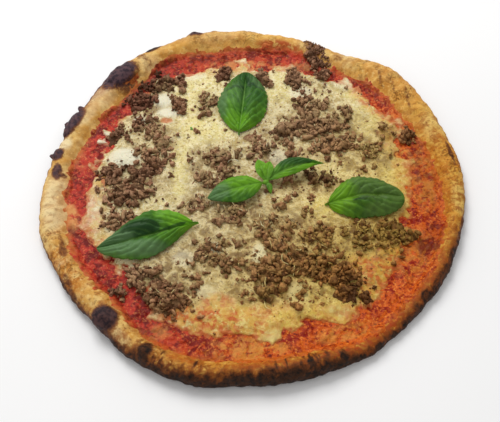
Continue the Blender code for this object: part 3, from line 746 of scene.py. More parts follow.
# Where orange oil ran over the dough.
OILED = (
    (112, 104, 36, 18, 128, 0.6), (148, -36, 11, 30, 76, 0.5), (147, 24, 26, 10, 98, 0.6),
    (76, -124, 36, 14, 33, 1.0), (112, -92, 28, 10, 50, 0.8), (-128, -72, 24, 10, 122, 0.8),
    (-132, -46, 14, 7, 107, 0.4), (-50, -136, 28, 8, 158, 0.7), (20, 150, 40, 8, 0, 0.3),
    (-20, 152, 30, 7, 5, 0.3), (135, -70, 24, 8, 63, 0.6), (5, -144, 44, 8, 0, 0.6), (-120, 78, 10, 6, 60, 0.3),
    (-60, 138, 24, 8, 28, 0.5),
)  # fmt: skip
# Where the dough stayed pale.
PALE = (
    (-85, 121, 9, 7, 35, 0.8), (-30, 155, 50, 9, 8, 0.7), (-120, 84, 14, 9, 55, 0.5),
    (112, 108, 34, 10, 128, 0.3), (-122, 90, 12, 8, 40, 1.0), (-143, 37, 6, 6, 80, 1.0),
    (-142, -16, 26, 10, 92, 0.7), (78, 130, 10, 5, 145, 0.4), (140, 52, 14, 8, 108, 0.5),
    (-90, -123, 12, 5, 144, 0.6), (-136, -68, 3, 8, 100, 0.7), (106, -100, 12, 5, 44, 0.8),
    (150, -12, 14, 5, 88, 0.7), (25, 154, 24, 3, 175, 0.4), (-110, 128, 9, 3, 40, 0.3),
    (-128, 66, 14, 5, 62, 0.5),
)  # fmt: skip
# Where sauce soaked into the rim.
SAUCED = (
    (66, -132, 32, 10, 26, 1.0), (94, -118, 26, 10, 38, 1.0), (24, -142, 40, 7, 8, 0.7),
    (118, -90, 24, 8, 54, 0.8), (136, -60, 20, 6, 66, 0.5), (-48, -138, 14, 4, 160, 0.5),
    (-118, 92, 8, 4, 60, 0.3), (-24, 146, 20, 4, 4, 0.3), (22, 141, 18, 5, 172, 0.9),
)  # fmt: skip
# Where the crust is golden, and where painted light brightens it because its slope lies in shade.
GOLDEN_AND_LIT = (
    (-26, 150, 66, 15, 6, 1.0), (-92, 122, 18, 10, 40, 0.7), (112, 104, 40, 18, 128, 0.8),
    (150, 24, 20, 8, 98, 0.3),
)  # fmt: skip
# Where fine brown cracks run.
CRACKLED = (
    (112, 104, 40, 19, 128, 0.8), (-134, -62, 30, 10, 115, 0.8), (150, 25, 18, 8, 100, 0.8),
    (-20, 150, 60, 8, 4, 0.6), (150, -30, 10, 40, 0, 0.5), (-60, -140, 60, 12, 160, 0.6),
)  # fmt: skip

# %% Painting the dough
WALL_TOP = 0.5  # of the rim's height: below it the wall counts as the very edge

x, y, angle, radius = plan(skin)
z = skin[:, 2]
inward = rim_radius(angle) - radius
# The lower outer wall is scorched from the very edge inwards, in a ragged line.
outer_side = inward < CREST_SHARE * around(RIM_WIDTH, angle)
wall_depth = np.where((z < WALL_TOP * rim_height(angle)) & outer_side, 0.0, inward)
streaks = waves(angle * 52.0, z / 3.0, 1.0, 12.5, 3) + 0.6 * waves(x, y, 9.0, 2.0, 2)
depth, reach = around(SCORCH_DEPTH, angle), around(SCORCH_REACH, angle)
soft = 1.2 + 0.8 * reach
wall = depth * smooth_step(soft, -soft, wall_depth - reach * (1 + 0.4 * streaks) - 0.5 * streaks)
below = smooth_step(1.2, 0.2, z)  # 1 on the underside
stain = smooth_step(sauce_radius(angle) + 8, sauce_radius(angle) - 1, radius)
split = smooth_step(-0.30, 0.45, waves(angle * 47.0, inward / 14.0, 1.0, 22.5, 3))
tongues = 0.9 * patches(x, y, TONGUES) * split
paint(dough, "scorch", np.maximum.reduce([wall * (1 - below), patches(x, y, SCORCHES + CREASES), tongues]))
paint(dough, "halo", depth * smooth_step(1.0, 3.0, reach) * smooth_step(9.0, 0.0, wall_depth - reach))
paint(dough, "toasted", around(TOASTED, angle))
paint(dough, "marks", 0.5 + 0.9 * waves(angle * 39.0, inward / 9.0, 1.0, 31.5, 3))
# Oil near the sauce, stronger where the painted warm light is strong.
paint(dough, "oil", np.maximum(patches(x, y, OILED), (0.35 + 0.55 * warm_light_share(x, y)) * stain))
paint(dough, "under", below)
paint_spots(dough, pale=PALE, ash=ASHEN, crackle=CRACKLED, sauced=SAUCED, golden=GOLDEN_AND_LIT)

# %% [markdown]
# ## The finish of baked dough
#
# Dough goes from cream through gold to brown and black. One flat colour would look like
# plastic, so the finish is built up as heat builds it: cream and gold by noise, a deeper gold
# in named places, which is partly painted light, freckles and a net of fine brown cracks, the
# oil and the sauce that soaked in, and at last the scorches with a brown halo round the black.
# A painted warm light over all of it is stronger towards the lower right.

# %% Baked dough
def paint_dough(bake):
    """The colour of the dough and the height of its finest relief."""
    fine = bake.noise(2.6, 4.0, 0.65)
    marks = bake.maths("MULTIPLY", bake.centred(bake.painted("marks")), 0.5)
    colour = bake.over((232, 196, 122), (214, 162, 80), bake.ramp(bake.noise(12.0, 3.0, 0.6), 0.36, 0.60))
    colour = bake.over(colour, (240, 222, 176), "pale", 0.8)
    marbled = bake.ramp(bake.maths("ADD", bake.noise(5.0, 5.0, 0.68, 1.6), marks), 0.44, 0.70)
    colour = bake.over(colour, (168, 106, 46), marbled, "toasted")
    # A deeper gold, partly painted light where the rim's slope lies in shade.
    colour = bake.over(colour, (252, 204, 104), "golden", 0.55)
    colour = bake.over(colour, (196, 122, 34), "oil", bake.ramp(bake.noise(7.0, 4.0, 0.6, 0.8), 0.28, 0.56))
    baked = bake.ramp(bake.painted("toasted"), 0.2, 0.9, 0.3, 1.0)
    colour = bake.over(colour, (122, 66, 26), bake.ramp(fine, 0.54, 0.68, 0.0, 0.7), baked)
    colour = bake.over(colour, (244, 212, 140), bake.ramp(fine, 0.45, 0.30, 0.0, 0.6))
    colour = bake.over(colour, (170, 68, 20), "sauced", bake.ramp(bake.noise(5.0, 4.0, 0.65, 0.8), 0.34, 0.56))
    ridge = bake.maths("ABSOLUTE", bake.centred(bake.noise(8.0, 4.0, 0.6, 1.8)), 0.0)
    crack = bake.maths("MULTIPLY", bake.ramp(ridge, 0.045, 0.0), bake.ramp(bake.noise(13.0), 0.42, 0.60))
    crack = bake.maths("MULTIPLY", crack, bake.painted("crackle"))
    colour = bake.over(colour, (132, 70, 26), crack, 0.8)
    smoky = bake.ramp(bake.noise(3.6, 4.0, 0.65, 0.8), 0.32, 0.58, 0.1, 0.8)
    colour = bake.over(colour, (142, 78, 32), "halo", smoky)
    frayed = bake.centred(bake.noise(3.4, 5.0, 0.7, 0.8))
    burnt = bake.maths("ADD", bake.painted("scorch"), bake.maths("MULTIPLY", frayed, 1.3))
    colour = bake.over(colour, (116, 62, 28), bake.ramp(burnt, 0.05, 0.62, 0.0, 0.92))
    patchy = bake.ramp(bake.noise(3.0, 3.0), 0.36, 0.66)
    black = bake.over((66, 38, 22), (26, 15, 10), patchy)
    black = bake.over(black, bake.over((88, 62, 66), (46, 32, 42), patchy), "ash")
    colour = bake.over(colour, black, bake.ramp(burnt, 0.40, 0.95))
    colour = bake.over(colour, (78, 50, 36), "under", bake.ramp(bake.noise(14.0, 3.0, 0.6), 0.50, 0.62))
    return bake.warm_lit(colour), bake.maths("SUBTRACT", bake.noise(1.1, 4.0, 0.7), crack)


dough_finish = new_finish("baked dough", paint_dough, 0.45, Roughness=0.6, Specular_IOR_Level=0.18)
dough.data.materials.append(dough_finish)
print("dough finish:", len(dough_finish.node_tree.nodes), "nodes")

# %% [markdown]
# ## The sauce
#
# Sauce is a thin wet layer of tomato pulp that climbs the inside of the rim and ends in a
# ragged line. Its underside follows the dough and its top dives into the dough where it ends,
# so that the ragged line is where the two really meet, and not an outline that was drawn.

# %% Sauce body
SAUCE_COLUMNS = 900
SAUCE_FINE_ROWS = 62
SAUCE_REACH = 5.0  # how far the mesh goes beyond the mean edge, for the ragged part
SAUCE_SINK = 1.2  # depth of its underside in the dough
HIDDEN_SHARES = (0.15, 0.4, 0.65, 0.85)  # rings well under the cheese, where little shows
FINE_FROM = 14.0  # the fine rows start this far inside the edge of the cheese
UNDERSIDE_STEP = 6  # the underside keeps only each sixth of the fine rows
on_dough = surface_of(dough)


def sauce_body():
    """Rings below and on the sauce, which is level under the cheese and uneven where it is bare."""
    angle = np.linspace(0, TAU, SAUCE_COLUMNS, endpoint=False)
    edge = sauce_radius(angle)
    open_start = cheese_radius(angle) + 1.5
    under_cheese = cheese_radius(angle) - FINE_FROM
    outer = edge + SAUCE_REACH
    radii = [share * under_cheese for share in HIDDEN_SHARES]
    radii += [under_cheese + (outer - under_cheese) * t for t in np.linspace(0, 1, SAUCE_FINE_ROWS)]
    under, top = [], []
    for ring_radius in radii:
        x, y = ring_radius * np.cos(angle), ring_radius * np.sin(angle)
        bed = height_on(on_dough, x, y, DOUGH_FLOOR)
        under.append(np.stack([x, y, bed - SAUCE_SINK], axis=-1))
        bare = smooth_step(open_start, open_start + 8.0, ring_radius)
        # It stands a little higher where no cheese lies on it.
        pool = SAUCE_LEVEL + bare * (0.7 + 0.9 * waves(x, y, 12.0, 2.5))
        # How far a point lies inside the ragged edge, where the film on the dough thins out and
        # dives into it.
        inside = edge - ring_radius + 3.2 * waves(x, y, 10.0, 6.5, 4)
        film = 1.5 * smooth_step(-2.5, 3.5, inside) - 0.55
        poured = np.maximum(pool * (inside > -1) - 3 * (inside <= -1), bed + film)
        settled = np.where(bare > 0, poured, SAUCE_LEVEL)
        top.append(np.stack([x, y, settled], axis=-1))
    fine = len(HIDDEN_SHARES)
    return ring_solid("tomato_sauce", [*under[:fine], *under[fine::UNDERSIDE_STEP], under[-1], *top[::-1]])


sauce = sauce_body()
print("sauce:", len(sauce.data.vertices), "points")

# %% [markdown]
# ## Pulp
#
# Crushed tomato is grainy: soft lumps of pulp a few millimetres across, standing in thinner
# juice. As with the dough's skin, a Geometry Nodes tree moves the points, here straight up and
# down, with two sizes of rounded grain.

# %% Pulp relief by Geometry Nodes
PULP_SIZES = {"Grain size": 4.2, "Grain height": 0.8, "Fine size": 1.8, "Fine height": 0.8}


def pulp_layers(recipe):
    grain = recipe.ramp(recipe.cells(PULP_SIZES["Grain size"], "SMOOTH_F1"), 0.55, 0.05, -0.5, 0.5)
    return grain, recipe.centred(recipe.noise(PULP_SIZES["Fine size"], 2.0))


x, y, angle, radius = plan(points_of(sauce))
paint(sauce, "open", smooth_step(-12.0, -2.0, radius - cheese_radius(angle)))
run_tree(sauce, relief_tree("tomato_pulp", PULP_SIZES, pulp_layers, "open"))

# %% Sauce spots
# How orange the sauce is, round the pizza: 0 is crimson.
SAUCE_WARMTH = (
    1.0, 1.0, 0.8, 0.4, 0.3, 0.25, 0.35, 0.35, 0.2, 0.1, 0.0, 0.0,
    0.1, 0.2, 0.1, 0.05, 0.2, 0.45, 0.8, 0.8, 0.9, 0.9, 0.8, 0.85,
)  # fmt: skip
SAUCE_OILED = (
    (128, 10, 9, 30, 0, 0.7), (112, -64, 10, 16, -30, 0.5), (62, -118, 20, 6, 14, 0.6), (-2, -130, 26, 9, 0, 0.8),
    (112, 62, 5, 12, 30, 0.6), (122, -50, 8, 14, 20, 0.5), (-129, 24, 5, 8, 0, 0.3), (-131, -26, 5, 12, 15, 0.9),
    (-62, -118, 10, 6, 30, 0.4), (115, 29, 7, 10, 14, 1.0), (-10, 124, 26, 5, 0, 0.6), (36, 122, 20, 5, 0, 0.4),
    (133, 45, 5, 12, 15, 0.6),
)  # fmt: skip
SAUCE_DARK = (
    (-22, 136, 16, 7, 8, 1.0), (-88, 104, 32, 9, 50, 1.3), (-30, 133, 44, 7, 8, 0.7), (-12, 140, 16, 5, 4, 0.9),
    (18, 140, 14, 8, 0, 0.4), (-128, -44, 14, 5, 110, 0.5), (126, -46, 18, 8, 70, 0.8), (128, 14, 9, 36, 5, 0.6),
    (132, -12, 6, 16, 0, 0.3), (88, 102, 30, 4, 130, 0.5),
)  # fmt: skip
paint(sauce, "warm", around(SAUCE_WARMTH, angle))
paint(sauce, "thin", smooth_step(6.0, -1.0, sauce_radius(angle) - radius))
paint_spots(sauce, oil=SAUCE_OILED, dark=SAUCE_DARK)

# %% Tomato sauce finish
def paint_sauce(cook):
    """Crimson or orange, grainy where it is orange, with oil on it and thin at the edge."""
    pool = cook.noise(10.0, 4.0, 0.6, 0.8)
    pulp = cook.noise(3.6, 4.0, 0.65, 0.6)
    grain = cook.noise(2.1, 4.0, 0.7)
    body = cook.ramp(cook.maths("ADD", pool, cook.maths("MULTIPLY", pulp, 0.8)), 0.78, 1.0)
    red, orange = cook.over((112, 17, 11), (186, 54, 38), body), cook.over((150, 30, 2), (212, 98, 34), body)
    colour = cook.over(red, orange, cook.ramp(cook.painted("warm"), 0.1, 0.9))
    grainy = cook.ramp(cook.painted("warm"), 0.1, 0.8, 0.45, 1.0)
    colour = cook.over(colour, (236, 150, 84), cook.ramp(grain, 0.53, 0.66, 0.0, 0.95), grainy)
    colour = cook.over(colour, (104, 16, 1), cook.ramp(grain, 0.47, 0.35, 0.0, 0.95), grainy)
    colour = cook.over(colour, (220, 158, 92), "oil", cook.ramp(cook.noise(7.0, 4.0, 0.6, 0.6), 0.40, 0.60))
    colour = cook.over(colour, (104, 24, 2), "dark", cook.ramp(body, 0.75, 0.20, 0.4, 0.95))
    colour = cook.over(colour, (196, 112, 54), "thin", cook.ramp(cook.noise(5.0, 4.0, 0.6), 0.30, 0.60))
    return cook.warm_lit(colour), cook.noise(0.9, 3.0, 0.6)


sauce_finish = new_finish("tomato sauce", paint_sauce, 0.35, Roughness=0.40, Specular_IOR_Level=0.13)
sauce.data.materials.append(sauce_finish)
print("sauce finish:", len(sauce_finish.node_tree.nodes), "nodes")

# %% [markdown]
# ## The cheese
#
# Melted mozzarella lies in a thin sheet with soft white lumps where thicker pieces were, and
# frays into the sauce at its edge. A square grid bent into a disc gives even cells. The sheet
# is laid on the sauce by dropping rays, and where its thickness falls below nothing it dives
# into the sauce, which makes the frayed edge and the odd hole.

# %% Cheese body
CHEESE_CELLS = 296
CHEESE_REACH = 9.0  # the mesh goes this far beyond the mean edge
CHEESE_SKIRT = 1.5  # how far its closed underside lies below its rim
# Places x and y, two half-sizes and rise of the soft white lumps.
CHEESE_LUMPS = (
    (-97, 26, 14, 9, 1.8), (-116, 48, 9, 8, 1.6), (-70, 82, 9, 7, 1.5), (-67, 69, 8, 6, 1.3), (5, -58, 6, 9, 1.5),
    (-27, -54, 6, 6, 1.2), (30, -92, 10, 14, 1.2), (12, -118, 7, 9, 1.2), (56, -103, 8, 5, 1.2),
)  # fmt: skip


def lump_field(x, y):
    total = np.zeros(np.shape(x))
    for lump_x, lump_y, half_x, half_y, rise in CHEESE_LUMPS:
        away = ((x - lump_x) / half_x) ** 2 + ((y - lump_y) / half_y) ** 2
        total += rise * np.exp(-1.6 * away * away)
    return total


def cheese_thickness(x, y):
    """As on the solid: gently uneven, with soft lumps, thinner near its edge."""
    taper = 0.35 + 0.65 * smooth_step(0.0, 12.0, cheese_radius(np.arctan2(y, x)) - np.hypot(x, y))
    return (2.3 + 0.9 * waves(x, y, 26.0, 7.5) + lump_field(x, y)) * taper


def cheese_top(x, y):
    """The solid's own top, which the leaves and the mince are measured from."""
    return SAUCE_LEVEL + 0.3 + cheese_thickness(x, y)


def disc_grid(cells):
    """A square grid bent into a disc of radius 1, row by row."""
    v, u = np.meshgrid(np.linspace(-1, 1, cells + 1), np.linspace(-1, 1, cells + 1), indexing="ij")
    wide = np.abs(u) > np.abs(v)
    ring = np.where(wide, u, v)
    with np.errstate(divide="ignore", invalid="ignore"):
        turn = np.where(wide, math.pi / 4 * v / u, math.pi / 2 - math.pi / 4 * u / v)
    turn = np.nan_to_num(turn)
    return ring * np.cos(turn), ring * np.sin(turn)


def cheese_body(bed_surface):
    """The top laid on its bed, and a skirt and a fan that close it underneath."""
    u, v = disc_grid(CHEESE_CELLS)
    reach = cheese_radius(np.arctan2(v, u)) + CHEESE_REACH
    x, y = (u * reach).ravel(), (v * reach).ravel()
    bed = height_on(bed_surface, x, y, SAUCE_LEVEL)
    # How far a point lies inside the frayed edge. Lumps don't fray, and beyond the edge and in
    # holes the thickness is below nothing.
    inside = cheese_radius(np.arctan2(y, x)) - np.hypot(x, y)
    frayed = 11.0 * waves(x, y, 14.0, 1.5, 4) + 4.0 * waves(x, y, 5.0, 11.5, 2)
    inside += frayed + 9.0 * np.minimum(1.0, lump_field(x, y))
    thick = cheese_thickness(x, y) * smooth_step(-1.0, 5.0, inside) - 1.3 * smooth_step(1.5, -2.5, inside)
    top = np.stack([x, y, bed + thick], axis=-1)
    quads, rim = grid_parts(CHEESE_CELLS, CHEESE_CELLS)
    lower = top[rim] - (0, 0, CHEESE_SKIRT)
    low_index = len(top) + np.arange(len(rim))
    middle = len(top) + len(rim)
    skirt = np.stack([np.roll(rim, -1), rim, low_index, np.roll(low_index, -1)], axis=-1)
    fan = np.stack([np.roll(low_index, -1), low_index, np.full(len(rim), middle)], axis=-1)
    points = np.vstack([top, lower, [(0, 0, SAUCE_LEVEL - 1.0)]])
    cheese = finished_piece("melted_cheese", points, quads.tolist() + skirt.tolist() + fan.tolist())
    paint(cheese, "thin", np.concatenate([smooth_step(1.6, 0.2, thick), np.ones(len(rim) + 1)]))
    paint(cheese, "top", np.concatenate([np.ones(len(top)), np.zeros(len(rim) + 1)]))
    return cheese


cheese = cheese_body(surface_of(sauce, dough))
print("cheese:", len(cheese.data.vertices), "points")

# %% Cheese relief by Geometry Nodes
MELT_SIZES = {"Ripple size": 8.0, "Ripple height": 2.2, "Curd size": 3.4, "Curd height": 1.5}


def melt_layers(recipe):
    ripple = recipe.centred(recipe.noise(MELT_SIZES["Ripple size"], 2.0, 0.55, 0.6))
    return ripple, recipe.centred(recipe.noise(MELT_SIZES["Curd size"], 3.0, 0.6))


run_tree(cheese, relief_tree("melted_surface", MELT_SIZES, melt_layers, "top"))

# %% [markdown]
# ## The colours of the cheese
#
# One pizza has many cheeses: white where a lump is still thick, yellow where it has browned in
# its own fat, orange where tomato oil has run over it, and grey where the meat's juice soaked
# in. Where it is thin, the red of the sauce shines through. Named spots say where.

# %% Cheese spots
WHITE = (
    (-115, 45, 8, 8, 0, 1.0), (-97, 26, 12, 9, 0, 1.0), (-70, 84, 8, 7, 0, 1.0), (-66, 71, 8, 5, 0, 1.0),
    (5, -59, 5, 9, 0, 1.0), (-27, -54, 6, 5, 0, 0.8), (-32, -88, 7, 5, 0, 0.5), (58, -103, 9, 4, 0, 0.9),
    (12, -119, 7, 6, 0, 0.9), (31, -93, 7, 12, 0, 0.7), (76, 102, 9, 6, 0, 0.5), (38, 92, 9, 7, 0, 0.5),
    (-50, 112, 12, 7, 0, 0.6), (-88, 62, 5, 5, 0, 0.7), (20, 28, 7, 7, 0, 0.5), (-48, -62, 8, 6, 0, 0.4),
    (-116, -20, 6, 12, 0, 0.4),
)  # fmt: skip
YELLOW = (
    (-42, 90, 20, 26, 0, 0.8), (-38, 55, 22, 16, 0, 0.9), (-54, 18, 7, 30, 0, 1.0), (50, -19, 12, 9, 0, 1.0),
    (70, -66, 10, 12, 0, 1.0), (90, 72, 12, 24, 0, 0.9), (22, 96, 14, 18, 0, 0.8), (90, -62, 12, 9, 0, 0.7),
    (-18, -106, 18, 8, 0, 0.8), (30, -108, 28, 7, 0, 1.0), (104, 20, 8, 20, 0, 0.6), (100, 85, 8, 10, 0, 0.6),
    (112, 5, 6, 26, 0, 0.6), (48, 88, 14, 8, 0, 0.5), (76, 98, 18, 10, 140, 0.9), (-74, -14, 14, 6, 0, 0.5),
    (60, 18, 14, 8, 0, 0.5),
)  # fmt: skip
CHEESE_OILED = (
    (96, 80, 24, 8, 128, 0.8), (84, -80, 18, 8, 48, 0.8), (-44, -110, 18, 6, 158, 0.5), (-28, -103, 6, 5, 0, 1.0),
    (113, 5, 8, 40, 0, 0.5), (104, -62, 12, 22, -20, 0.9), (-8, 121, 26, 6, 0, 0.8), (-116, -18, 9, 24, 0, 0.5),
    (62, -106, 30, 8, 12, 0.6), (-14, -116, 34, 7, 0, 0.9), (105, 48, 8, 20, 0, 0.4), (-70, 106, 16, 6, 0, 0.4),
    (-67, 63, 5, 2.5, 0, 0.8), (102, 76, 10, 10, 0, 0.6), (88, -68, 14, 8, -30, 0.7), (30, 120, 20, 5, 0, 0.6),
    (-105, 66, 10, 5, 40, 0.4), (-106, -50, 9, 8, 0, 0.7), (12, -104, 8, 4, 0, 0.7), (-112, 4, 6, 8, 0, 0.8),
    (112, -34, 7, 14, 0, 0.6), (-8, 116, 8, 5, 0, 0.5), (22, -106, 46, 9, 0, 0.4), (-30, 118, 22, 7, 0, 0.6),
    (90, 88, 16, 9, -45, 0.5), (4, 122, 22, 5, 0, 0.6), (-46, -106, 14, 8, 0, 1.0), (-24, -98, 12, 8, 0, 0.7),
    (88, -74, 22, 10, -30, 0.9), (98, -60, 12, 16, 0, 0.5), (-114, -32, 8, 16, 0, 0.5),
    (-20, -108, 26, 9, 0, 1.0), (2, -104, 16, 6, 0, 0.7),
)  # fmt: skip
JUICY = (
    (92, 31, 16, 18, 0, 0.7), (-28, 12, 22, 30, 0, 0.7), (-18, -24, 38, 14, 0, 0.9), (34, 2, 26, 10, 0, 1.0),
    (-45, -52, 34, 26, 0, 0.8), (-96, -30, 12, 14, 0, 0.5), (52, 56, 40, 30, 0, 0.6), (-78, 42, 24, 26, 0, 0.5),
    (90, -46, 30, 20, 0, 1.0), (82, -68, 18, 12, -30, 0.8), (26, -56, 48, 34, 0, 1.0), (10, 34, 18, 22, 0, 0.7),
    (-90, 5, 30, 22, 0, 0.8), (-60, -85, 30, 26, 0, 0.9), (24, 80, 8, 10, 0, 0.4), (102, 52, 10, 8, 0, 1.0),
    (56, 98, 22, 8, 0, 0.4), (112, -38, 10, 16, 0, 0.8), (16, -88, 40, 10, 0, 0.8), (-8, -74, 20, 22, 0, 0.8),
    (66, -50, 14, 10, 0, 0.7), (-88, 80, 18, 22, 0, 0.7), (-36, 80, 10, 14, 0, 0.6), (84, -64, 10, 6, 0, 0.6),
    (-36, -12, 20, 8, 0, 0.7), (80, 22, 20, 10, 0, 0.7),
)  # fmt: skip
paint_spots(cheese, white=WHITE, yellow=YELLOW, oil=CHEESE_OILED, juice=JUICY)
print("cheese spots:", len(WHITE + YELLOW + CHEESE_OILED + JUICY))


# %% Melted cheese finish
def paint_cheese(melt):
    """Cream to yellow, curdled with painted highlight and shade, juice soaked in, white lumps, oil, sauce below."""
    blotch = melt.noise(7.0, 4.0, 0.6, 0.5)
    curd = melt.noise(2.6, 4.0, 0.65)
    crumb = melt.noise(1.3, 3.0, 0.6)
    colour = melt.over((232, 216, 164), (198, 176, 112), melt.ramp(blotch, 0.38, 0.60))
    colour = melt.over(colour, (230, 214, 140), "yellow", melt.ramp(blotch, 0.30, 0.50, 0.4, 1.0))
    for tint, *ramp in (
        ((242, 230, 184), melt.noise(6.0, 3.0, 0.5, 1.0), 0.54, 0.62, 0.0, 0.6),
        # Partly the curd's own tone, partly painted highlight on its tips and painted shade in its pits.
        ((244, 234, 200), curd, 0.52, 0.68, 0.0, 0.7),
        ((164, 130, 76), curd, 0.48, 0.33, 0.0, 0.75),
        ((248, 240, 212), crumb, 0.54, 0.70, 0.0, 0.5),
        ((150, 122, 78), crumb, 0.45, 0.30, 0.0, 0.35),
    ):
        colour = melt.over(colour, tint, melt.ramp(*ramp))
    colour = melt.over(colour, (176, 150, 96), "juice", 0.42)
    soaked = melt.maths("ADD", blotch, melt.maths("MULTIPLY", curd, 0.5))
    colour = melt.over(colour, (134, 106, 62), "juice", melt.ramp(soaked, 0.68, 0.88))
    colour = melt.over(colour, (234, 228, 200), "white", 0.9)
    golden = melt.over((220, 178, 98), (200, 104, 48), melt.ramp(melt.noise(6.0, 4.0, 0.6, 0.6), 0.42, 0.60))
    colour = melt.over(colour, golden, "oil", melt.ramp(melt.noise(5.0, 3.0, 0.6, 0.6), 0.30, 0.54))
    stain = melt.maths("ADD", melt.painted("thin"), melt.centred(melt.noise(4.0, 3.0)))
    colour = melt.over(colour, (190, 92, 50), melt.ramp(stain, 0.30, 1.05, 0.0, 0.85))
    speck = melt.ramp(melt.noise(2.0, 4.0, 0.65), 0.56, 0.68, 0.0, 0.8)
    colour = melt.over(colour, (92, 62, 36), speck, "juice")
    return melt.warm_lit(colour), melt.noise(1.3, 4.0, 0.65)


cheese_finish = new_finish(
    "melted cheese", paint_cheese, 0.5, Roughness=0.42, Specular_IOR_Level=0.25,
    Subsurface_Weight=0.08, Subsurface_Scale=0.0015, Subsurface_Radius=(1.0, 0.6, 0.3),
)  # fmt: skip
cheese.data.materials.append(cheese_finish)
print("cheese finish:", len(cheese_finish.node_tree.nodes), "nodes")

# %% [markdown]
# ## Basil
#
# A basil leaf is an egg-shaped blade, folded a little along its rib, that bulges between its
# side veins. It could be a flat picture cut out of a card, but it would be dead at every other
# angle. Here each leaf is a fine grid over the same rule as the solid, with the veins sunk, the
# flesh between them raised and a few soft creases, and it is closed with a second face below.
# The stem's end is bright, a painted sheen greys the tip, and a fold is a dark line of painted
# shade between two tones; painted shade also darkens the creases and parts of each blade.

# %% Leaf shape
LEAF_THICKNESS = 0.45
STEM_HALF_WIDTH = 0.7
LEAF_LIFT = 0.6  # least height of the underside above the cheese
CREST_AT = 0.55  # of the way from the rib to the margin, where the blade stands highest
RELIEF_WIDTH = 39.0  # the width of leaf that the heights of the relief are meant for
NECK = 0.05  # share of the leaf that is its short stalk
SIDE_VEINS = 6.0
# Stem, tip, width, where each side is fullest, how pointed the stem's end and the tip are, bow
# of the rib, three heights along it, and the heights of crest and margin on each side. Where the
# tip has two numbers for how pointed it is, they are for its left and its right side.
LEAVES = {
    "basil_leaf_north": (
        (-10.5, 47.5), (-4.5, 110), 38, (0.47, 0.49), (0.66, 0.58), -0.5,
        (9.0, 13.0, 11.5), (2.6, -2.5), (2.4, -3.5),
    ),
    "basil_leaf_east": (
        (52.5, -17.5), (110.5, -12.5), 35, (0.48, 0.50), (0.60, 0.46), 4.0,
        (9.0, 12.5, 11.5), (2.2, -3.0), (2.0, -3.5),
    ),
    "basil_leaf_south_west": (
        (-38.5, -33.5), (-109, -56), 31.5, (0.54, 0.37), (1.2, 0.60, 1.05), 1.2,
        (9.5, 12.0, 11.0), (2.5, -2.5), (4.8, 5.0),
    ),
}  # fmt: skip
SPRIG = (
    ((9, 0), (-32.5, -13.5), 22, (0.45, 0.45), (0.9, 0.8), -0.5, (12.2, 13.5, 11.5), (1.6, -0.6), (1.4, -0.8)),
    ((10, 1), (53, 17), 12.5, (0.42, 0.42), (1.0, 1.4), 3.5, (12.2, 15.5, 13.0), (2.0, 2.5), (1.5, 0.5)),
    ((10, 1), (4, 18), 8.5, (0.50, 0.50), (0.8, 1.0), 0.0, (12.2, 15.0, 16.0), (0.8, 1.2), (0.8, 1.2)),
    ((11, 1), (13, 16), 7, (0.50, 0.50), (0.8, 1.0), 0.5, (12.4, 15.5, 16.5), (0.8, 1.2), (0.8, 1.2)),
    ((11, 0), (13.5, -8), 3.2, (0.45, 0.45), (0.8, 1.0), 0.5, (12.2, 11.5, 9.5), (0.5, 0.3), (0.5, 0.3)),
)


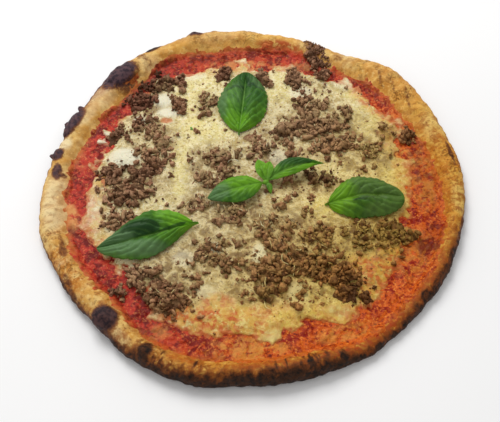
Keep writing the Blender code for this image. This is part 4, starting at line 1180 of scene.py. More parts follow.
def leaf_points(leaf, share, across):
    """Points on a leaf's underside, and how near each is to a vein and to a crease painted in shade, from 0 to 1."""
    stem, tip, width, fullest, sharpness, bow, (low, middle, high), left, right = leaf
    # The rib: a bow on the plan, and a parabola through its three heights.
    along = np.subtract(tip, stem).astype(float)
    side = np.array([-along[1], along[0]]) / np.hypot(*along)
    wave = np.sin(math.pi * share)
    rib_x, rib_y = (stem[k] + along[k] * share + side[k] * bow * wave for k in (0, 1))
    rib_z = low + share * (4 * middle - 3 * low - high) + share**2 * (2 * low + 2 * high - 4 * middle)
    # The half-width: fullest where it is told to be, with fine teeth and an uneven margin.
    warp = math.log(0.5) / np.log(np.where(across > 0, *fullest))
    sharp = sharpness[0] + (np.where(across > 0, sharpness[1], sharpness[-1]) - sharpness[0]) * share
    blade = np.clip((share - NECK) / (1 - NECK), 0.0, 1.0)
    swelling = np.maximum(0.0, np.sin(math.pi * blade**warp)) ** sharp
    half = 0.5 * width * swelling + STEM_HALF_WIDTH * (1 - 0.5 * share)
    half = half * (1 + 0.022 * np.abs(across) ** 3 * np.sin(TAU * 13 * share))
    half = half * (1 + 0.03 * np.sin(9 * share + stem[0] + 2 * np.sign(across)))
    # The blade across: up from the rib to the crest and down to the margin, with soft waves.
    fade = np.maximum(0.0, wave) ** 0.6
    crest = np.where(across > 0, left[0], right[0])
    margin = np.where(across > 0, left[1], right[1])
    rise = (crest - CREST_AT**2 * margin) / (CREST_AT - CREST_AT**2)
    reach = np.abs(across)
    z = rib_z + fade * (reach * rise + reach**2 * (margin - rise))
    z += 0.010 * width * fade * reach * np.sin(5 * math.pi * share + 2 * across)
    x, y = rib_x + side[0] * across * half, rib_y + side[1] * across * half
    # Flesh that bulges between the side veins, which alternate, and a few soft folds.
    phase = (share - 0.48 * reach**1.3) * SIDE_VEINS + 0.5 * (across > 0)
    phase = phase + 0.16 * np.sin(11 * share + 4 * across + stem[1])
    gap = np.abs(phase - np.round(phase)) * 2  # 0 on a side vein, 1 midway between two
    flesh = (1 - (1 - gap) ** 2) * np.minimum(1.0, 3 * reach) * (1 - reach**3)
    relief = width / RELIEF_WIDTH * fade
    z += relief * (2.0 * flesh - 1.0 * np.exp(-((reach / 0.05) ** 2)))
    z += relief * (2.0 * waves(x, y, 0.26 * width, 5.5) + 0.6 * waves(x, y, 0.10 * width, 9.5))
    folds = waves(x + 0.5 * y, y - 0.3 * x, 0.34 * width, 14.5, 2)
    shaded_crease = np.exp(-((folds / 0.06) ** 2)) * fade * (1 - reach**4)
    z -= 0.8 * width / RELIEF_WIDTH * shaded_crease
    z = np.maximum(z, cheese_top(x, y) + LEAF_LIFT)
    # What the finish reads: pale veins, and painted shade in the creases and along the side veins.
    off_rib = smooth_step(0.02, 0.10, reach)
    vein = 0.8 * np.exp(-((reach * half / 0.5) ** 2)) * smooth_step(1.0, 0.5, share)
    vein = np.maximum(vein, 0.20 * smooth_step(0.16, 0.0, np.abs(gap - 0.36)) * (1 - reach) * off_rib)
    shaded_crease = np.maximum(0.8 * shaded_crease, smooth_step(0.26, 0.04, gap) * (1 - reach**2) * off_rib)
    return np.stack([x, y, z], axis=-1), vein, shaded_crease


# %% Leaves and leaflets
def leaf_piece(name, leaf, rows, columns):
    """A closed leaf, with numbers painted for its finish."""
    row, column = np.linspace(0, 1, rows + 1), np.linspace(-1, 1, columns + 1)
    row = row - 0.10 * np.sin(TAU * row)  # closer together at both ends
    share, across = np.meshgrid(row, column, indexing="ij")
    under, vein, shaded_crease = leaf_points(leaf, share, across)
    top = under + np.stack([0 * share, 0 * share, LEAF_THICKNESS * (1 - 0.5 * across**2)], axis=-1)
    quads, rim = grid_parts(rows, columns)
    up, ahead = share.size, np.roll(rim, -1)
    sides = np.stack([rim, rim + up, ahead + up, ahead], axis=-1)
    faces = [*np.roll(quads, -1, axis=1).tolist(), *(quads[:, [0, 3, 2, 1]] + up).tolist(), *sides.tolist()]
    piece = finished_piece(name, np.vstack([under.reshape(-1, 3), top.reshape(-1, 3)]), faces)
    face_outwards(piece.data)
    for label, values in (("vein", vein), ("along", share), ("shaded_crease", shaded_crease)):
        paint(piece, label, np.tile(values.ravel(), 2))
    return piece


LEAF_GRID, LEAFLET_GRID = (120, 64), (60, 32)  # rows and columns
leaves = [leaf_piece(name + "_blade", leaf, *LEAF_GRID) for name, leaf in LEAVES.items()]
leaflets = [leaf_piece(f"sprig_leaflet_{n}", leaf, *LEAFLET_GRID) for n, leaf in enumerate(SPRIG)]


# %% The sprig's middle and a fleck of herb
def basil_lump(name, place, half_sizes, turn):
    """A small egg of basil, for the sprig's middle and for a fleck of herb."""
    work = bmesh.new()
    bmesh.ops.create_icosphere(work, subdivisions=3, radius=1.0, matrix=egg(place, half_sizes, turn))
    lump = placed(name, smooth_mesh(name, work))
    for label, value in (("vein", 0.2), ("along", 0.1), ("shaded_crease", 0.0)):
        paint(lump, label, np.full(len(lump.data.vertices), value))
    return lump


FLECK_PLACE = (-47, 55)
fleck_height = float(height_on(surface_of(cheese), *FLECK_PLACE))
leaflets.append(basil_lump("sprig_middle", (10, 0.5, 12.0), (2.4, 2.0, 2.0), 20))
herb_fleck = basil_lump("herb_fleck", (*FLECK_PLACE, fleck_height + 0.1), (0.8, 1.9, 0.45), 25)
print("basil:", len(leaves), "leaves,", len(leaflets), "parts of the sprig, and a fleck")

# %% Light parts of the leaves, and their painted shade and sheen
LEAF_BRIGHT = (
    (-12, 57, 10, 9, 0, 0.7), (2, 61, 10, 7, 30, 1.0), (8, 13, 8, 9, 0, 1.0), (4, -1, 6, 5, 0, 0.9),
    (-18, 72, 4, 10, 10, 0.4), (60, -18, 10, 9, 0, 1.0), (68, -12, 8, 14, 0, 0.8), (-50, -31, 14, 9, 15, 1.0),
    (-62, -28, 10, 5, 20, 0.7), (-58, -44, 12, 5, 35, 0.5), (8, 14, 5, 8, 0, 1.0), (34, 9, 18, 4, 25, 0.8),
    (-70, -36, 22, 12, 18, 0.3), (-6, -2, 16, 9, 15, 0.9), (16, -6, 5, 4, 0, 0.7), (6, 66, 8, 9, 30, 0.9),
)  # fmt: skip
# Painted shade on parts of the leaves.
LEAF_SHADE = (
    (-82, -36, 13, 5, 20, 0.6), (-88, -48, 14, 8, 15, 0.7), (-62, -50, 12, 6, 35, 0.4), (-4, 98, 10, 14, 0, 0.9),
    (2, 74, 8, 18, 0, 0.7), (4, 90, 8, 14, 0, 0.6), (-80, -41, 15, 7, 15, 1.0), (-70, -42, 6, 8, 0, 0.5),
    (92, -14, 18, 12, 0, 0.5), (100, 0, 10, 8, 0, 0.3), (35, 18, 16, 4, 14, 0.9), (-20, -10, 9, 5, 0, 0.3),
    (86, -24, 16, 4, 0, 0.3),
)  # fmt: skip
# Painted shadow along the folds, with sharp edges.
LEAF_FOLD_SHADE = (
    (-82, -42, 12, 4, 18, 0.8), (-72, -40, 7, 4, 0, 0.8), (-60, -41, 14, 1.5, 25, 1.0),
    (-84, -47, 15, 1.6, 14, 1.2), (-3, 97, 1.6, 8, 14, 1.0), (-14, 90, 9, 1.5, 10, 0.9),
    (3, 92, 7, 1.4, -30, 0.9), (34, 13, 12, 1.2, 22, 1.0), (82, -16, 10, 1.2, 12, 0.8),
)  # fmt: skip
# Painted sheen: the greyish reflection of the light on parts of the leaves.
LEAF_SHEEN = (
    (-24, 84, 5, 20, 4, 0.9), (6, 98, 6, 9, 30, 0.7), (84, 2, 14, 6, 10, 0.8), (94, -24, 14, 6, 10, 0.7),
    (104, -8, 6, 12, 0, 0.8), (-96, -53, 14, 8, 15, 1.2), (-80, -57, 20, 6, 4, 1.1), (-26, -10, 10, 7, 15, 1.0),
    (90, -6, 16, 12, 0, 0.7), (-14, 84, 10, 12, 0, 0.4),
)  # fmt: skip
for blade in (*leaves, *leaflets, herb_fleck):
    paint_spots(blade, bright=LEAF_BRIGHT, dark=LEAF_SHADE, bloom=LEAF_SHEEN)
    x, y, _, _ = plan(points_of(blade))
    paint(blade, "fold_shade", smooth_step(0.35, 0.60, patches(x, y, LEAF_FOLD_SHADE)))


# %% Basil finish
def paint_basil(grow):
    """Green, lighter to the stem, bright in parts; painted shade in parts, folds and creases; painted sheen; veins."""
    mottled = grow.noise(5.0, 3.0, 0.5)
    colour = grow.over((56, 102, 28), (82, 134, 36), grow.ramp(mottled, 0.35, 0.65))
    colour = grow.over(colour, (98, 152, 44), grow.ramp(grow.painted("along"), 0.45, 0.0, 0.0, 0.6))
    colour = grow.over(colour, (108, 166, 24), "bright", grow.ramp(mottled, 0.3, 0.6, 0.6, 0.95))
    # Painted shade.
    colour = grow.over(colour, (26, 70, 22), "dark", 0.8)
    # Painted shadow along the folds.
    colour = grow.over(colour, (18, 50, 20), "fold_shade", 0.75)
    # Painted shade in the creases and along the side veins.
    colour = grow.over(colour, (22, 62, 14), "shaded_crease", 0.5)
    # Painted sheen.
    colour = grow.over(colour, (92, 124, 80), "bloom", 0.7)
    return grow.warm_lit(grow.over(colour, (116, 162, 66), "vein")), grow.noise(0.8, 2.0)


basil_finish = new_finish("basil", paint_basil, 0.12, Roughness=0.5, Specular_IOR_Level=0.2)
for blade in (*leaves, *leaflets, herb_fleck):
    blade.data.materials.append(basil_finish)
print("basil finish:", len(basil_finish.node_tree.nodes), "nodes")

# %% [markdown]
# ## Mince, first its heaps
#
# Browned mince lies in heaps of loose crumbs. A heap of nothing but crumbs would need tens of
# thousands of them, most of them hidden. So each handful has a rough core, the same squashed
# ball as in the solid, and only the crumbs on the outside are made. Where cheese has closed
# over the mince, the core dives under it and leaves a gap between two clumps.

# %% Heaps
# Where cheese has closed over the mince.
MINCE_CHEESY = (
    (93, 31, 16, 16, 0, 1.0), (-24, 20, 22, 28, 0, 0.6), (6, 38, 14, 14, 0, 0.4), (-28, -18, 34, 10, 0, 0.6),
    (-26, -60, 24, 14, 0, 0.5), (20, -36, 44, 16, 0, 0.6), (46, -46, 18, 16, 0, 0.65), (50, 50, 36, 18, 0, 0.25),
    (62, 72, 24, 16, 0, 0.4), (30, 58, 26, 12, 0, 0.25), (103, 55, 10, 7, 0, 0.9), (86, -46, 28, 14, 0, 0.7),
    (65, 98, 12, 8, 0, 0.7), (50, 6, 16, 8, 0, 0.3), (20, -66, 34, 14, 0, 0.3), (16, -86, 20, 12, 0, 0.4),
    (-76, 42, 14, 20, 0, 0.5), (-36, 80, 8, 12, 0, 0.5), (-64, -86, 30, 20, 0, 0.3), (-66, 92, 12, 10, 0, 0.4),
    (-90, -4, 24, 12, 0, 0.15), (-98, -30, 12, 10, 0, 0.3),
)  # fmt: skip
# Where a heap has no gaps.
MINCE_DENSE = (
    (62, 38, 22, 12, 0, 1.0), (28, 50, 22, 10, 0, 1.0), (46, 68, 14, 12, 0, 0.6), (6, 36, 12, 12, 0, 0.7),
)  # fmt: skip
# The handfuls of each heap: x, y, half-length, half-width, turn in degrees and rise.
MINCE_HEAPS = {
    "mince_north_west": ((-69, 101, 23, 10, 10, 5.0), (-88, 83, 14, 15, 0, 6.0)),
    "mince_north_west_crumb": ((-57, 78, 6, 7, 0, 5.0),),
    "mince_by_north_leaf": ((-37, 80, 10, 12, 0, 4.5),),
    "mince_west_outer": ((-104, 48, 11, 10, -15, 5.5),),
    "mince_west": (
        (-84, 58, 9, 9, 0, 5.5), (-71, 46, 13, 11, 0, 5.0), (-74, 27, 13, 17, 0, 5.0),
        (-94, 10, 25, 12, 2, 5.5), (-89, -8, 20, 11, 0, 5.0),
    ),
    "mince_west_lower": ((-96, -30, 12, 10, 20, 5.0),),
    "mince_centre_west": ((-24, 28, 15, 11, -20, 4.5), (-26, 10, 18, 12, 0, 4.0)),
    "mince_north": ((-21, 112, 9, 8, 0, 5.0),),
    "mince_north_inner": ((10, 107, 7, 12, 10, 5.0),),
    "mince_north_east_inner": ((34, 106, 8, 12, 8, 5.0),),
    "mince_on_rim": ((57, 114, 8, 8, 0, 5.0), (54, 123, 8, 9, 0, 5.5), (50, 132, 7, 9, 0, 5.0)),
    "mince_north_east_small": ((65, 98, 10, 6, -10, 4.0),),
    "mince_north_east": (
        (44, 75, 13, 14, 0, 5.0), (71, 68, 7, 11, 0, 5.5), (25, 53, 14, 9, 0, 5.0),
        (53, 56, 24, 13, 0, 5.0), (63, 39, 17, 10, 8, 4.5),
    ),
    "mince_north_of_sprig": ((7, 37, 10, 10, 0, 4.5),),
    "mince_east_cheesy": ((93, 31, 12, 12, 0, 3.5),),
    "mince_east_small": ((103, 55, 8, 5, 0, 3.5),),
    "mince_east_edge": ((121, 48, 8, 9, 0, 5.0),),
    "mince_east_of_sprig": ((50, 6, 12, 7, -10, 4.5),),
    "mince_under_east_leaf": ((87, -39, 25, 13, 0, 4.0), (108, -43, 10, 9, 0, 4.5)),
    "mince_west_of_sprig": ((-41, -14, 12, 6, 0, 4.0),),
    "mince_south_of_sprig": ((-16, -25, 14, 8, 15, 4.0),),
    "mince_south": (
        (13, -39, 18, 13, 0, 4.5), (20, -52, 14, 9, 0, 4.5), (46, -43, 12, 14, 0, 4.0),
        (32, -60, 22, 12, 10, 5.0), (19, -73, 24, 12, 0, 5.0), (56, -74, 19, 13, -15, 5.5),
        (67, -89, 16, 9, -20, 5.5), (10, -89, 13, 10, 0, 5.5),
    ),
    "mince_south_middle": ((-32, -57, 10, 10, 0, 4.5), (-18, -64, 14, 9, 0, 4.5)),
    "mince_south_west": ((-74, -77, 13, 13, 0, 5.0), (-57, -93, 22, 14, -20, 6.0)),
    "mince_south_west_edge": ((-93, -89, 10, 4, 0, 3.5),),
}  # fmt: skip
# Heaps that make one piece with one finish.
REGIONS = {
    "north_west": ("north_west", "north_west_crumb", "by_north_leaf", "west_outer", "north"),
    "west": ("west", "west_lower", "centre_west", "west_of_sprig"),
    "north_east": (
        "north_inner", "north_east_inner", "on_rim", "north_east_small", "north_east", "north_of_sprig",
        "east_cheesy", "east_small", "east_edge",
    ),
    "south": ("east_of_sprig", "under_east_leaf", "south_of_sprig", "south", "south_middle"),
    "south_west": ("south_west", "south_west_edge"),
}  # fmt: skip
print("mince:", len(MINCE_HEAPS), "heaps in", len(REGIONS), "regions")

# %% Heap cores
HANDFUL_SINK = 0.35  # share of a handful's rise that lies below its bed
CORE_SPREAD = 0.9  # share of a handful's width that is core; crumbs make up the rest
CORE_RISE = 0.85
CORE_DETAIL = 5
SMALL_HANDFUL = 190  # product of its half-sizes, below which it needs less detail
CORE_BOTTOM = 0.6  # inside the dough
LEAF_GAP = 0.5  # between a core and the leaf above it
GAP_SIZE = 8.0
GAP_DEPTH = 8.0
GAP_BOTTOM = 1.0  # no gap is deeper than this height
CORE_SIZES = {"Clump size": 6.5, "Clump height": 4.0, "Grain size": 2.0, "Grain height": 1.2}

on_layers = surface_of(dough, sauce, cheese)
under_leaves = surface_of(*leaves, *leaflets)


def heap_core(name, heaps):
    """One piece of all the handfuls' cores, sunk in their beds."""
    work = bmesh.new()
    for x, y, half_length, half_width, turn, rise in (handful for heap in heaps for handful in MINCE_HEAPS[heap]):
        bed = float(height_on(on_layers, x, y))
        half_sizes = (half_length, half_width, CORE_RISE * rise * (1 + HANDFUL_SINK))
        shape = egg((x, y, bed - HANDFUL_SINK * rise), half_sizes, turn)
        detail = CORE_DETAIL - (half_length * half_width < SMALL_HANDFUL)
        bmesh.ops.create_icosphere(work, subdivisions=detail, radius=CORE_SPREAD, matrix=shape)
    return placed(name, smooth_mesh(name, work))


def core_layers(recipe):
    clump = recipe.ramp(recipe.cells(CORE_SIZES["Clump size"]), 0.7, 0.1, -0.5, 0.5)
    return clump, recipe.centred(recipe.noise(CORE_SIZES["Grain size"], 3.0, 0.6))


# %% Gaps in the heaps
def gap_share(x, y):
    """Where a heap is open, so that the cheese shows in it, from 0 to 1."""
    level = 0.36 - 0.40 * patches(x, y, MINCE_CHEESY) + 0.5 * patches(x, y, MINCE_DENSE)
    return smooth_step(-0.06, 0.06, waves(x, y, GAP_SIZE, 17.5, 2) - level)


def open_gaps(core):
    """Lowers the core below the cheese in the gaps, but never through the dough."""
    points = points_of(core)
    points[:, 2] = np.maximum(points[:, 2], CORE_BOTTOM)
    lowered = points[:, 2] - GAP_DEPTH * gap_share(points[:, 0], points[:, 1])
    points[:, 2] = np.maximum(lowered, np.minimum(points[:, 2], GAP_BOTTOM))
    move_points(core, points)


def press_below_leaves(core):
    """Pushes down what would stick up through a leaf."""
    points = points_of(core)
    ceiling = height_on(under_leaves, points[:, 0], points[:, 1], missing=DROP_HEIGHT)
    points[:, 2] = np.minimum(points[:, 2], ceiling - LEAF_THICKNESS - LEAF_GAP)
    move_points(core, points)


def mark_what_shows(core):
    """Paints 1 where the core stands above its bed, for the crumbs to be spread on."""
    points = points_of(core)
    bed = height_on(on_layers, points[:, 0], points[:, 1])
    paint(core, "shows", smooth_step(-0.8, 0.3, points[:, 2] - bed))


core_tree = relief_tree("heap_relief", CORE_SIZES, core_layers)
cores = {}
for region, heaps in REGIONS.items():
    core = heap_core(f"mince_core_{region}", ["mince_" + heap for heap in heaps])
    run_tree(core, core_tree)
    open_gaps(core)
    press_below_leaves(core)
    mark_what_shows(core)
    cores[region] = core

# %% [markdown]
# ## Mince, then its crumbs
#
# Mince leaves the mincer as strands, which tear and stick together as they brown. So a crumb is
# a clump of torn strands 3 to 8 mm across, a knobbly lump, or a single short strand. Eighteen
# shapes of about a hundred faces each are enough, because no two lie the same way. A Geometry
# Nodes tree spreads points over the heaps, no two closer than a set spacing, puts a shape on
# each, turned and scaled by chance, drops those that would touch a leaf or reach below the
# dough, and makes them real.


# %% Crumb shapes
def crumb_mesh(name, seed, detail=2):
    """A knobbly lump about 1 mm in radius, in metres, for scaling."""
    chance = random.Random(seed)
    work = bmesh.new()
    bmesh.ops.create_icosphere(work, subdivisions=detail, radius=1.0 * MM)
    stretch = Vector((chance.uniform(0.85, 1.5), chance.uniform(0.7, 1.1), chance.uniform(0.55, 0.9)))
    for vert in work.verts:
        way = vert.co.normalized()
        coarse = noise.noise(way * 1.3 + Vector((seed * 7.3, 0, 0)))
        fine = noise.noise(way * 2.9 + Vector((0, seed * 5.1, 0)))
        vert.co = Vector(c * s for c, s in zip(vert.co * (1 + 0.8 * coarse + 1.2 * fine), stretch))
    return smooth_mesh(name, work)


# %% Strands and clumps
def strand_mesh(name, seed, radius=0.66, longest=3.4):
    """A short bent strand, six-sided."""
    chance = random.Random(seed)
    bend, length = chance.uniform(0.15, 0.45) * longest, chance.uniform(0.66, 1.0) * longest
    rings, sides = 6, 6
    turn = np.linspace(0, TAU, sides, endpoint=False)
    loops = []
    for k in range(rings):
        t = k / (rings - 1) - 0.5
        middle = np.array([length * t, bend * (4 * t * t - 1) * 0.5, chance.uniform(-0.2, 0.2)])
        thick = radius * (1 - 0.75 * abs(2 * t) ** 5) * chance.uniform(0.85, 1.15)
        loops.append(middle + np.stack([0 * turn, np.cos(turn) * thick, np.sin(turn) * thick * 0.85], axis=-1))
    ends = [loops[0].mean(axis=0), loops[-1].mean(axis=0)]
    mesh = bpy.data.meshes.new(name)
    points = np.vstack([*loops, *ends]) * MM
    mesh.from_pydata(points.tolist(), [], ring_faces(rings, sides))
    face_outwards(mesh)
    mesh.shade_smooth()
    return mesh


def clump_mesh(name, seed):
    """Five short torn strands grown together, 20 faces each."""
    chance = random.Random(seed)
    work = bmesh.new()
    for part in range(5):
        made = bmesh.ops.create_icosphere(work, subdivisions=1, radius=0.5 * MM)["verts"]
        lie = Euler([chance.uniform(0, TAU) for _ in range(3)]).to_matrix()
        long, wide = chance.uniform(1.3, 2.1), chance.uniform(0.75, 1.1)
        offset = Vector([chance.uniform(-1, 1) * reach * MM * min(part, 1) for reach in (0.9, 0.8, 0.5)])
        for vert in made:
            torn = Vector((vert.co.x * long, vert.co.y * wide, vert.co.z * wide)) * chance.uniform(0.75, 1.3)
            vert.co = lie @ torn + offset
    return smooth_mesh(name, work)


# %% Sets of shapes
def shape_set(name, *kinds):
    """A collection of shapes; a kind is its name, how many, its maker, its first seed and any sizes."""
    shapes = bpy.data.collections.new(name)
    for kind, count, make, first_seed, *more in kinds:
        for number in range(count):
            label = f"{kind}_{number}"
            shapes.objects.link(bpy.data.objects.new(label, make(label, first_seed + number, *more)))
    return shapes


crumb_shapes = shape_set(
    "crumb_shapes", ("crumb", 5, crumb_mesh, 1), ("clump", 9, clump_mesh, 51), ("strand", 4, strand_mesh, 1)
)
fleck_shapes = shape_set("fleck_shapes", ("fleck", 4, crumb_mesh, 21, 1))
shred_shapes = shape_set("shred_shapes", ("shred", 6, strand_mesh, 31, 0.34, 8.0))
helpers = (*crumb_shapes.objects, *fleck_shapes.objects, *shred_shapes.objects)
print("shapes:", len(helpers))


# %% Mince finish
def paint_mince(brown):
    """Brown lumps in named tints; painted highlight and shade on fibres, painted shade on cores and undersides."""
    lump = brown.noise(2.8, 3.0, 0.6)
    fibre = brown.noise(1.2, 3.0, 0.65, 0.8)
    colour = brown.over((150, 100, 70), (204, 156, 120), brown.ramp(lump, 0.38, 0.60))
    for tint, *ramp in (
        ((112, 74, 46), brown.painted("tone"), 0.30, 1.0, 0.0, 0.7),
        ((104, 70, 48), brown.noise(7.0, 2.0), 0.50, 0.64, 0.0, 0.4),
        # Painted highlight where the fibres' bump rises, and painted shade where it falls.
        ((216, 180, 136), fibre, 0.54, 0.68, 0.0, 0.55),
        ((80, 45, 16), fibre, 0.47, 0.33, 0.0, 0.75),
    ):
        colour = brown.over(colour, tint, brown.ramp(*ramp))
    colour = brown.over(colour, (112, 62, 50), "red", 0.6)
    # Darker where burnt, and painted shadow beside the leaves.
    colour = brown.over(colour, (76, 44, 26), "dark", 0.7)
    colour = brown.over(colour, (118, 92, 44), "olive", 0.5)
    colour = brown.over(colour, (184, 144, 106), "pale", 0.6)
    closing = brown.ramp(brown.noise(4.5, 3.0, 0.6), 0.42, 0.58)
    coated = brown.maths("MULTIPLY", brown.painted("cheesy"), closing)
    colour = brown.over(colour, (196, 172, 120), coated)
    # Painted shade: where no cheese covers a core, it is darkened as if in the crumbs' shadow.
    colour = brown.over(colour, (66, 36, 10), "core_shade", brown.ramp(coated, 0.6, 0.2, 0.0, 0.7))
    # Painted shade: faces that turn away from above are darker.
    normal = brown.add("ShaderNodeNewGeometry", output="Normal")
    facing_for_shade = brown.add("ShaderNodeSeparateXYZ", {"Vector": normal}, output="Z")
    colour = brown.over(colour, (72, 41, 12), brown.ramp(facing_for_shade, 0.70, -0.2, 0.0, 0.4))
    return brown.warm_lit(colour), fibre


mince_finish = new_finish("browned mince", paint_mince, 0.9, Roughness=0.5, Specular_IOR_Level=0.16)
print("mince finish:", len(mince_finish.node_tree.nodes), "nodes")

# %% Scattering tree
# Spacing and lift are in metres, density is in pieces per square metre before they are thinned
# out to the spacing, and a shape's own size of 1 mm is scaled between smallest and largest.
SCATTER_SIZES = {
    "Spacing": 0.0030, "Density": 240000.0, "Smallest": 1.1, "Largest": 3.7, "Skew": 1.3, "Lift": 0.0, "Seed": 3,
}  # fmt: skip
LEAF_CLEARANCE = 1.25  # times a crumb's size, to the nearest leaf
CRUMB_DEPTH = 2.0  # times a crumb's size, to the underside of the dough
CRUMB_BOTTOM = 0.3  # no crumb reaches lower, inside the dough


def build_scatter_tree(name, density_name, shapes, finish):
    """density_name is the painted number that says where pieces may lie."""
    recipe, given, result = geometry_recipe(name, SCATTER_SIZES)

    def chance(seed, low, high, kind="FLOAT"):
        return recipe.add("FunctionNodeRandomValue", {"Min": low, "Max": high, "Seed": seed}, {"data_type": kind})

    def remember(geometry, label, value):
        inputs = {"Geometry": geometry, "Name": label, "Value": value}
        return recipe.add("GeometryNodeStoreNamedAttribute", inputs, {"data_type": "FLOAT", "domain": "POINT"})

    def dropped(points, low, high):
        """The points without those where low is less than high."""
        less = recipe.add("FunctionNodeCompare", {"A": low, "B": high}, {"operation": "LESS_THAN"})
        inputs = {"Geometry": points, "Selection": less}
        return recipe.add("GeometryNodeDeleteGeometry", inputs, {"domain": "POINT"})

    spread = recipe.add(
        "GeometryNodeDistributePointsOnFaces",
        {
            "Mesh": given.outputs["Geometry"], "Seed": given.outputs["Seed"], "Distance Min": given.outputs["Spacing"],
            "Density Max": given.outputs["Density"], "Density Factor": recipe.recalled(density_name),
        },
        {"distribute_method": "POISSON"},
    )  # fmt: skip
    skewed = recipe.maths("POWER", chance(7, 0.0, 1.0), given.outputs["Skew"])
    inputs = {"Value": skewed, "To Min": given.outputs["Smallest"], "To Max": given.outputs["Largest"]}
    spread = remember(spread, "size", recipe.add("ShaderNodeMapRange", inputs))
    spread = remember(spread, "tone", chance(11, 0.0, 1.0))
    joined = recipe.tree.nodes.new("GeometryNodeJoinGeometry")
    for blade in leaves + leaflets:
        settings = {"transform_space": "RELATIVE"}
        part = recipe.add("GeometryNodeObjectInfo", {"Object": blade}, settings, "Geometry")
        recipe.tree.links.new(part, joined.inputs["Geometry"])
    joined = {"Geometry": joined.outputs["Geometry"]}
    leaf_distance = recipe.add("GeometryNodeProximity", joined, {"target_element": "FACES"}, "Distance")
    size = recipe.recalled("size")
    kept = dropped(spread, leaf_distance, recipe.maths("MULTIPLY", size, LEAF_CLEARANCE * MM))
    height = recipe.add("ShaderNodeSeparateXYZ", {"Vector": recipe.place}, output="Z")
    lowest = recipe.maths("MAXIMUM", recipe.maths("MULTIPLY", size, CRUMB_DEPTH * MM), SAUCE_LEVEL * MM)
    kept = dropped(kept, height, lowest)
    lift = recipe.add("ShaderNodeCombineXYZ", {"Z": given.outputs["Lift"]})
    raised = recipe.add("GeometryNodeSetPosition", {"Geometry": kept, "Offset": lift})
    inputs = {"Collection": shapes, "Separate Children": True, "Reset Children": True}
    kinds = recipe.add("GeometryNodeCollectionInfo", inputs)
    inputs = {"Points": raised, "Instance": kinds, "Pick Instance": True, "Scale": size}
    inputs |= {"Instance Index": chance(5, 0, len(shapes.objects) - 1, "INT")}
    inputs |= {"Rotation": chance(6, (0, 0, 0), (TAU, TAU, TAU), "FLOAT_VECTOR")}
    instances = recipe.add("GeometryNodeInstanceOnPoints", inputs)
    real = recipe.add("GeometryNodeRealizeInstances", {"Geometry": instances})
    finished = recipe.add("GeometryNodeSetMaterial", {"Geometry": real, "Material": finish})
    recipe.tree.links.new(finished, result.inputs["Geometry"])
    return recipe.tree


# %% Four scattering trees
heap_tree = build_scatter_tree("crumbs_on_heaps", "shows", crumb_shapes, mince_finish)
loose_tree = build_scatter_tree("crumbs_on_cheese", "loose", crumb_shapes, mince_finish)
fleck_tree = build_scatter_tree("flecks_on_cheese", "flecks", fleck_shapes, mince_finish)
shred_tree = build_scatter_tree("shreds_on_heaps", "shreds", shred_shapes, cheese_finish)


def scatter_over(source, name, tree, sizes):
    """A piece of small things spread over a source piece, which stays as it is."""
    piece = placed(name, source.data.copy())
    run_tree(piece, tree, SCATTER_SIZES | sizes)
    points = points_of(piece)
    points[:, 2] = np.maximum(points[:, 2], CRUMB_BOTTOM)
    move_points(piece, points)
    return piece


# %% [markdown]
# ## Where the mince is pale, dark or stained
#
# Mince near the fire is nearly black, where sauce reached it it is reddish, where fat pooled it
# is olive, and in some places cheese has closed over it. Beside the sprig and the east leaf it
# is darkened with painted shadow. These are named spots again, painted on cores and crumbs alike.

# %% Mince spots
MINCE_RED = (
    (-88, 84, 20, 24, 30, 1.0), (-70, 100, 26, 12, 10, 0.9), (-56, -96, 26, 16, -20, 0.35),
    (-92, -89, 12, 6, 0, 0.8), (-8, 108, 30, 12, 0, 0.5), (34, 108, 12, 12, 0, 0.5), (56, 122, 12, 20, 0, 0.3),
)  # fmt: skip
# Darker mince: burnt near the fire, and painted shadow beside the sprig and below the east leaf.
MINCE_DARK_AND_SHADOW = (
    (75, -92, 14, 12, -20, 1.0), (72, 68, 8, 12, 0, 0.7), (50, 8, 16, 8, 0, 1.0), (121, 48, 10, 10, 0, 0.3),
    (-94, 10, 24, 8, 0, 0.5), (-103, 46, 8, 8, 0, 0.6), (-85, 62, 8, 10, 0, 0.4), (20, 55, 14, 8, 0, 0.6),
    (104, -40, 16, 12, 0, 0.4), (57, 130, 10, 10, 0, 0.5), (-78, 98, 14, 8, 0, 0.5), (8, -90, 8, 8, 0, 0.3),
    (-22, 106, 8, 8, 0, 0.4), (36, 100, 6, 6, 0, 0.6), (12, 98, 5, 8, 0, 0.5), (-90, -8, 20, 8, 0, 0.2),
)  # fmt: skip
MINCE_PALE = ((50, 54, 40, 26, 0, 0.9), (24, 108, 24, 14, 0, 0.8), (-66, 96, 14, 10, 0, 0.3))
MINCE_OLIVE = (
    (88, -44, 30, 16, 0, 0.9), (20, -20, 40, 12, 0, 0.3), (-40, -60, 24, 20, 0, 0.4), (34, -54, 40, 24, 0, 0.1),
    (-32, 82, 8, 12, 0, 0.6), (40, 76, 18, 10, 0, 0.4),
)  # fmt: skip


def paint_mince_spots(piece):
    paint_spots(piece, red=MINCE_RED, dark=MINCE_DARK_AND_SHADOW, olive=MINCE_OLIVE, pale=MINCE_PALE, cheesy=MINCE_CHEESY)


# %% Crumbs and shreds on the heaps
SHRED_SHARE = 0.9
SHRED_SIZES = {"Spacing": 0.0038, "Density": 90000.0, "Smallest": 0.6, "Largest": 1.3, "Lift": 0.0019}

